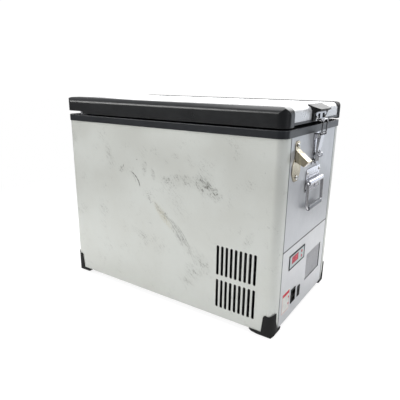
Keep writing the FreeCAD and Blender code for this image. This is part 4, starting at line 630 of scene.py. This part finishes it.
def display_digits():
    """Lit segments behind the red lens that read as a set temperature."""
    low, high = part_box("display_window")
    middle = (low + high) / 2
    half = DIGIT_HEIGHT / 2
    width = DIGIT_HEIGHT * 0.56
    spots = {"a": (0, half, True), "g": (0, 0, True), "d": (0, -half, True),
             "b": (width / 2, half / 2, False), "c": (width / 2, -half / 2, False),
             "e": (-width / 2, -half / 2, False), "f": (-width / 2, half / 2, False)}
    points, faces = [], []
    for place, digit in enumerate("-18"):
        for letter in DIGIT_SEGMENTS[digit]:
            dy, dz, level = spots[letter]
            outline = segment_outline(middle.y + (place - 1) * DIGIT_STEP + dy, middle.z + dz,
                                      (width if level else half) - SEGMENT_GAP, level)
            first, count = len(points), len(outline)
            points += [(high.x - SEGMENT_SUNK, y, z) for y, z in outline]
            points += [(high.x + SEGMENT_PROUD, y, z) for y, z in outline]
            faces.append(tuple(range(first, first + count)))
            faces.append(tuple(reversed(range(first + count, first + 2 * count))))
            for k in range(count):
                after = (k + 1) % count
                faces.append((first + k, first + after, first + count + after, first + count + k))
    lit = lacquered("lit_segments", (0.85, 0.10, 0.13, 1.0), 0.35, 0.0, 0.2, glow=0.30)
    faces = [tuple(reversed(face)) for face in faces]
    add_mesh("display_digits", points, faces, lit, "cabinet", False)


# ---------------------------------------------------------------- studio
def soft_box(name, place, target, width, height, power, colour=(1.0, 1.0, 1.0)):
    data = bpy.data.lights.new(name, "AREA")
    data.shape, data.size, data.size_y = "RECTANGLE", width, height
    data.energy, data.color = power, colour
    light = bpy.data.objects.new(name, data)
    light.location = place
    light.rotation_euler = (Vector(target) - Vector(place)).to_track_quat("-Z", "Y").to_euler()
    bpy.context.scene.collection.objects.link(light)


def make_world():
    """White behind the object; for reflections a pale room, brighter overhead, with darker walls."""
    world = bpy.data.worlds.new("studio")
    bpy.context.scene.world = world
    world.use_nodes = True
    tree = world.node_tree
    tree.nodes.clear()
    new = tree.nodes.new
    coords, split, ramp = new("ShaderNodeTexCoord"), new("ShaderNodeSeparateXYZ"), new("ShaderNodeValToRGB")
    tree.links.new(coords.outputs["Generated"], split.inputs[0])
    tree.links.new(split.outputs[2], ramp.inputs[0])
    stops = ((0.0, 0.16), (0.10, 0.20), (0.30, 0.55), (0.60, 1.0), (1.0, 1.3))
    ramp.color_ramp.elements.remove(ramp.color_ramp.elements[1])
    for place, value in stops:
        element = ramp.color_ramp.elements[0] if place == 0.0 else ramp.color_ramp.elements.new(place)
        element.color = (value, value, value * 1.02, 1.0)
    room, white = new("ShaderNodeBackground"), new("ShaderNodeBackground")
    mixer = new("ShaderNodeMixShader")
    tree.links.new(ramp.outputs[0], room.inputs["Color"])
    room.inputs["Strength"].default_value = 0.50
    white.inputs["Strength"].default_value = 1.05
    white.inputs["Color"].default_value = (1.0, 1.0, 1.0, 1.0)
    rays, out = new("ShaderNodeLightPath"), new("ShaderNodeOutputWorld")
    tree.links.new(rays.outputs["Is Camera Ray"], mixer.inputs[0])
    tree.links.new(room.outputs[0], mixer.inputs[1])
    tree.links.new(white.outputs[0], mixer.inputs[2])
    tree.links.new(mixer.outputs[0], out.inputs[0])


FLOOR_HALF = 12.0
TABLE_TONE, ROOM_FLOOR_TONE = 0.62, 0.20


def make_floor():
    """A large floor: white with a faint shadow to look at; to light, a pale table in a dark room."""
    half = FLOOR_HALF
    mesh = bpy.data.meshes.new("floor")
    mesh.from_pydata([(-half, -half, 0), (half, -half, 0), (half, half, 0), (-half, half, 0)], [],
                     [(0, 1, 2, 3)])
    floor = bpy.data.objects.new("floor", mesh)
    bpy.context.scene.collection.objects.link(floor)
    graph = Graph("floor_white")
    reach = graph.add("ShaderNodeVectorMath", {0: graph.place}, operation="LENGTH").outputs["Value"]
    seen = graph.add("ShaderNodeLightPath").outputs["Is Camera Ray"]
    grey_share = graph.ramp(reach, 0.5, 1.6, 0.18, 0.0)
    table = graph.mix(graph.ramp(reach, 0.75, 1.7), grey(TABLE_TONE), grey(ROOM_FLOOR_TONE))
    shadow_catch = graph.mix(grey_share, grey(0.0), grey(1.0))
    glow = graph.math("MULTIPLY_ADD", grey_share, -0.6, 1.0)
    graph.set(Base_Color=graph.mix(seen, table, shadow_catch),
              Emission_Strength=graph.math("MULTIPLY", seen, glow))
    graph.shader.inputs["Emission Color"].default_value = (1.0, 1.0, 1.0, 1.0)
    graph.shader.inputs["Specular IOR Level"].default_value = 0.0
    graph.shader.inputs["Roughness"].default_value = 1.0
    mesh.materials.append(graph.material)


def make_studio():
    make_world()
    make_floor()
    soft_box("overhead", (0.1, 0.0, 2.6), (0, 0, 0.3), 3.0, 2.4, 72)
    soft_box("front_left", (-2.0, -2.6, 1.50), (0, 0, 0.35), 2.2, 0.7, 52, (1.0, 1.0, 0.98))
    soft_box("right_side", (3.0, 0.0, 1.5), (0.3, 0, 0.3), 1.4, 1.8, 21, (0.94, 0.97, 1.0))
    soft_box("right_rear", (1.05, 1.75, 0.40), (0.35, 0, 0.40), 1.3, 0.9, 3.0, (0.86, 0.92, 1.0))
    soft_box("rear", (-1.0, 3.2, 2.0), (0, 0, 0.5), 4.4, 2.2, 100)
    bpy.context.scene.view_settings.view_transform = "Standard"


make_camera()
make_studio()
paint_cad_nodes()
bellows_gasket()
woven_screen()
display_digits()
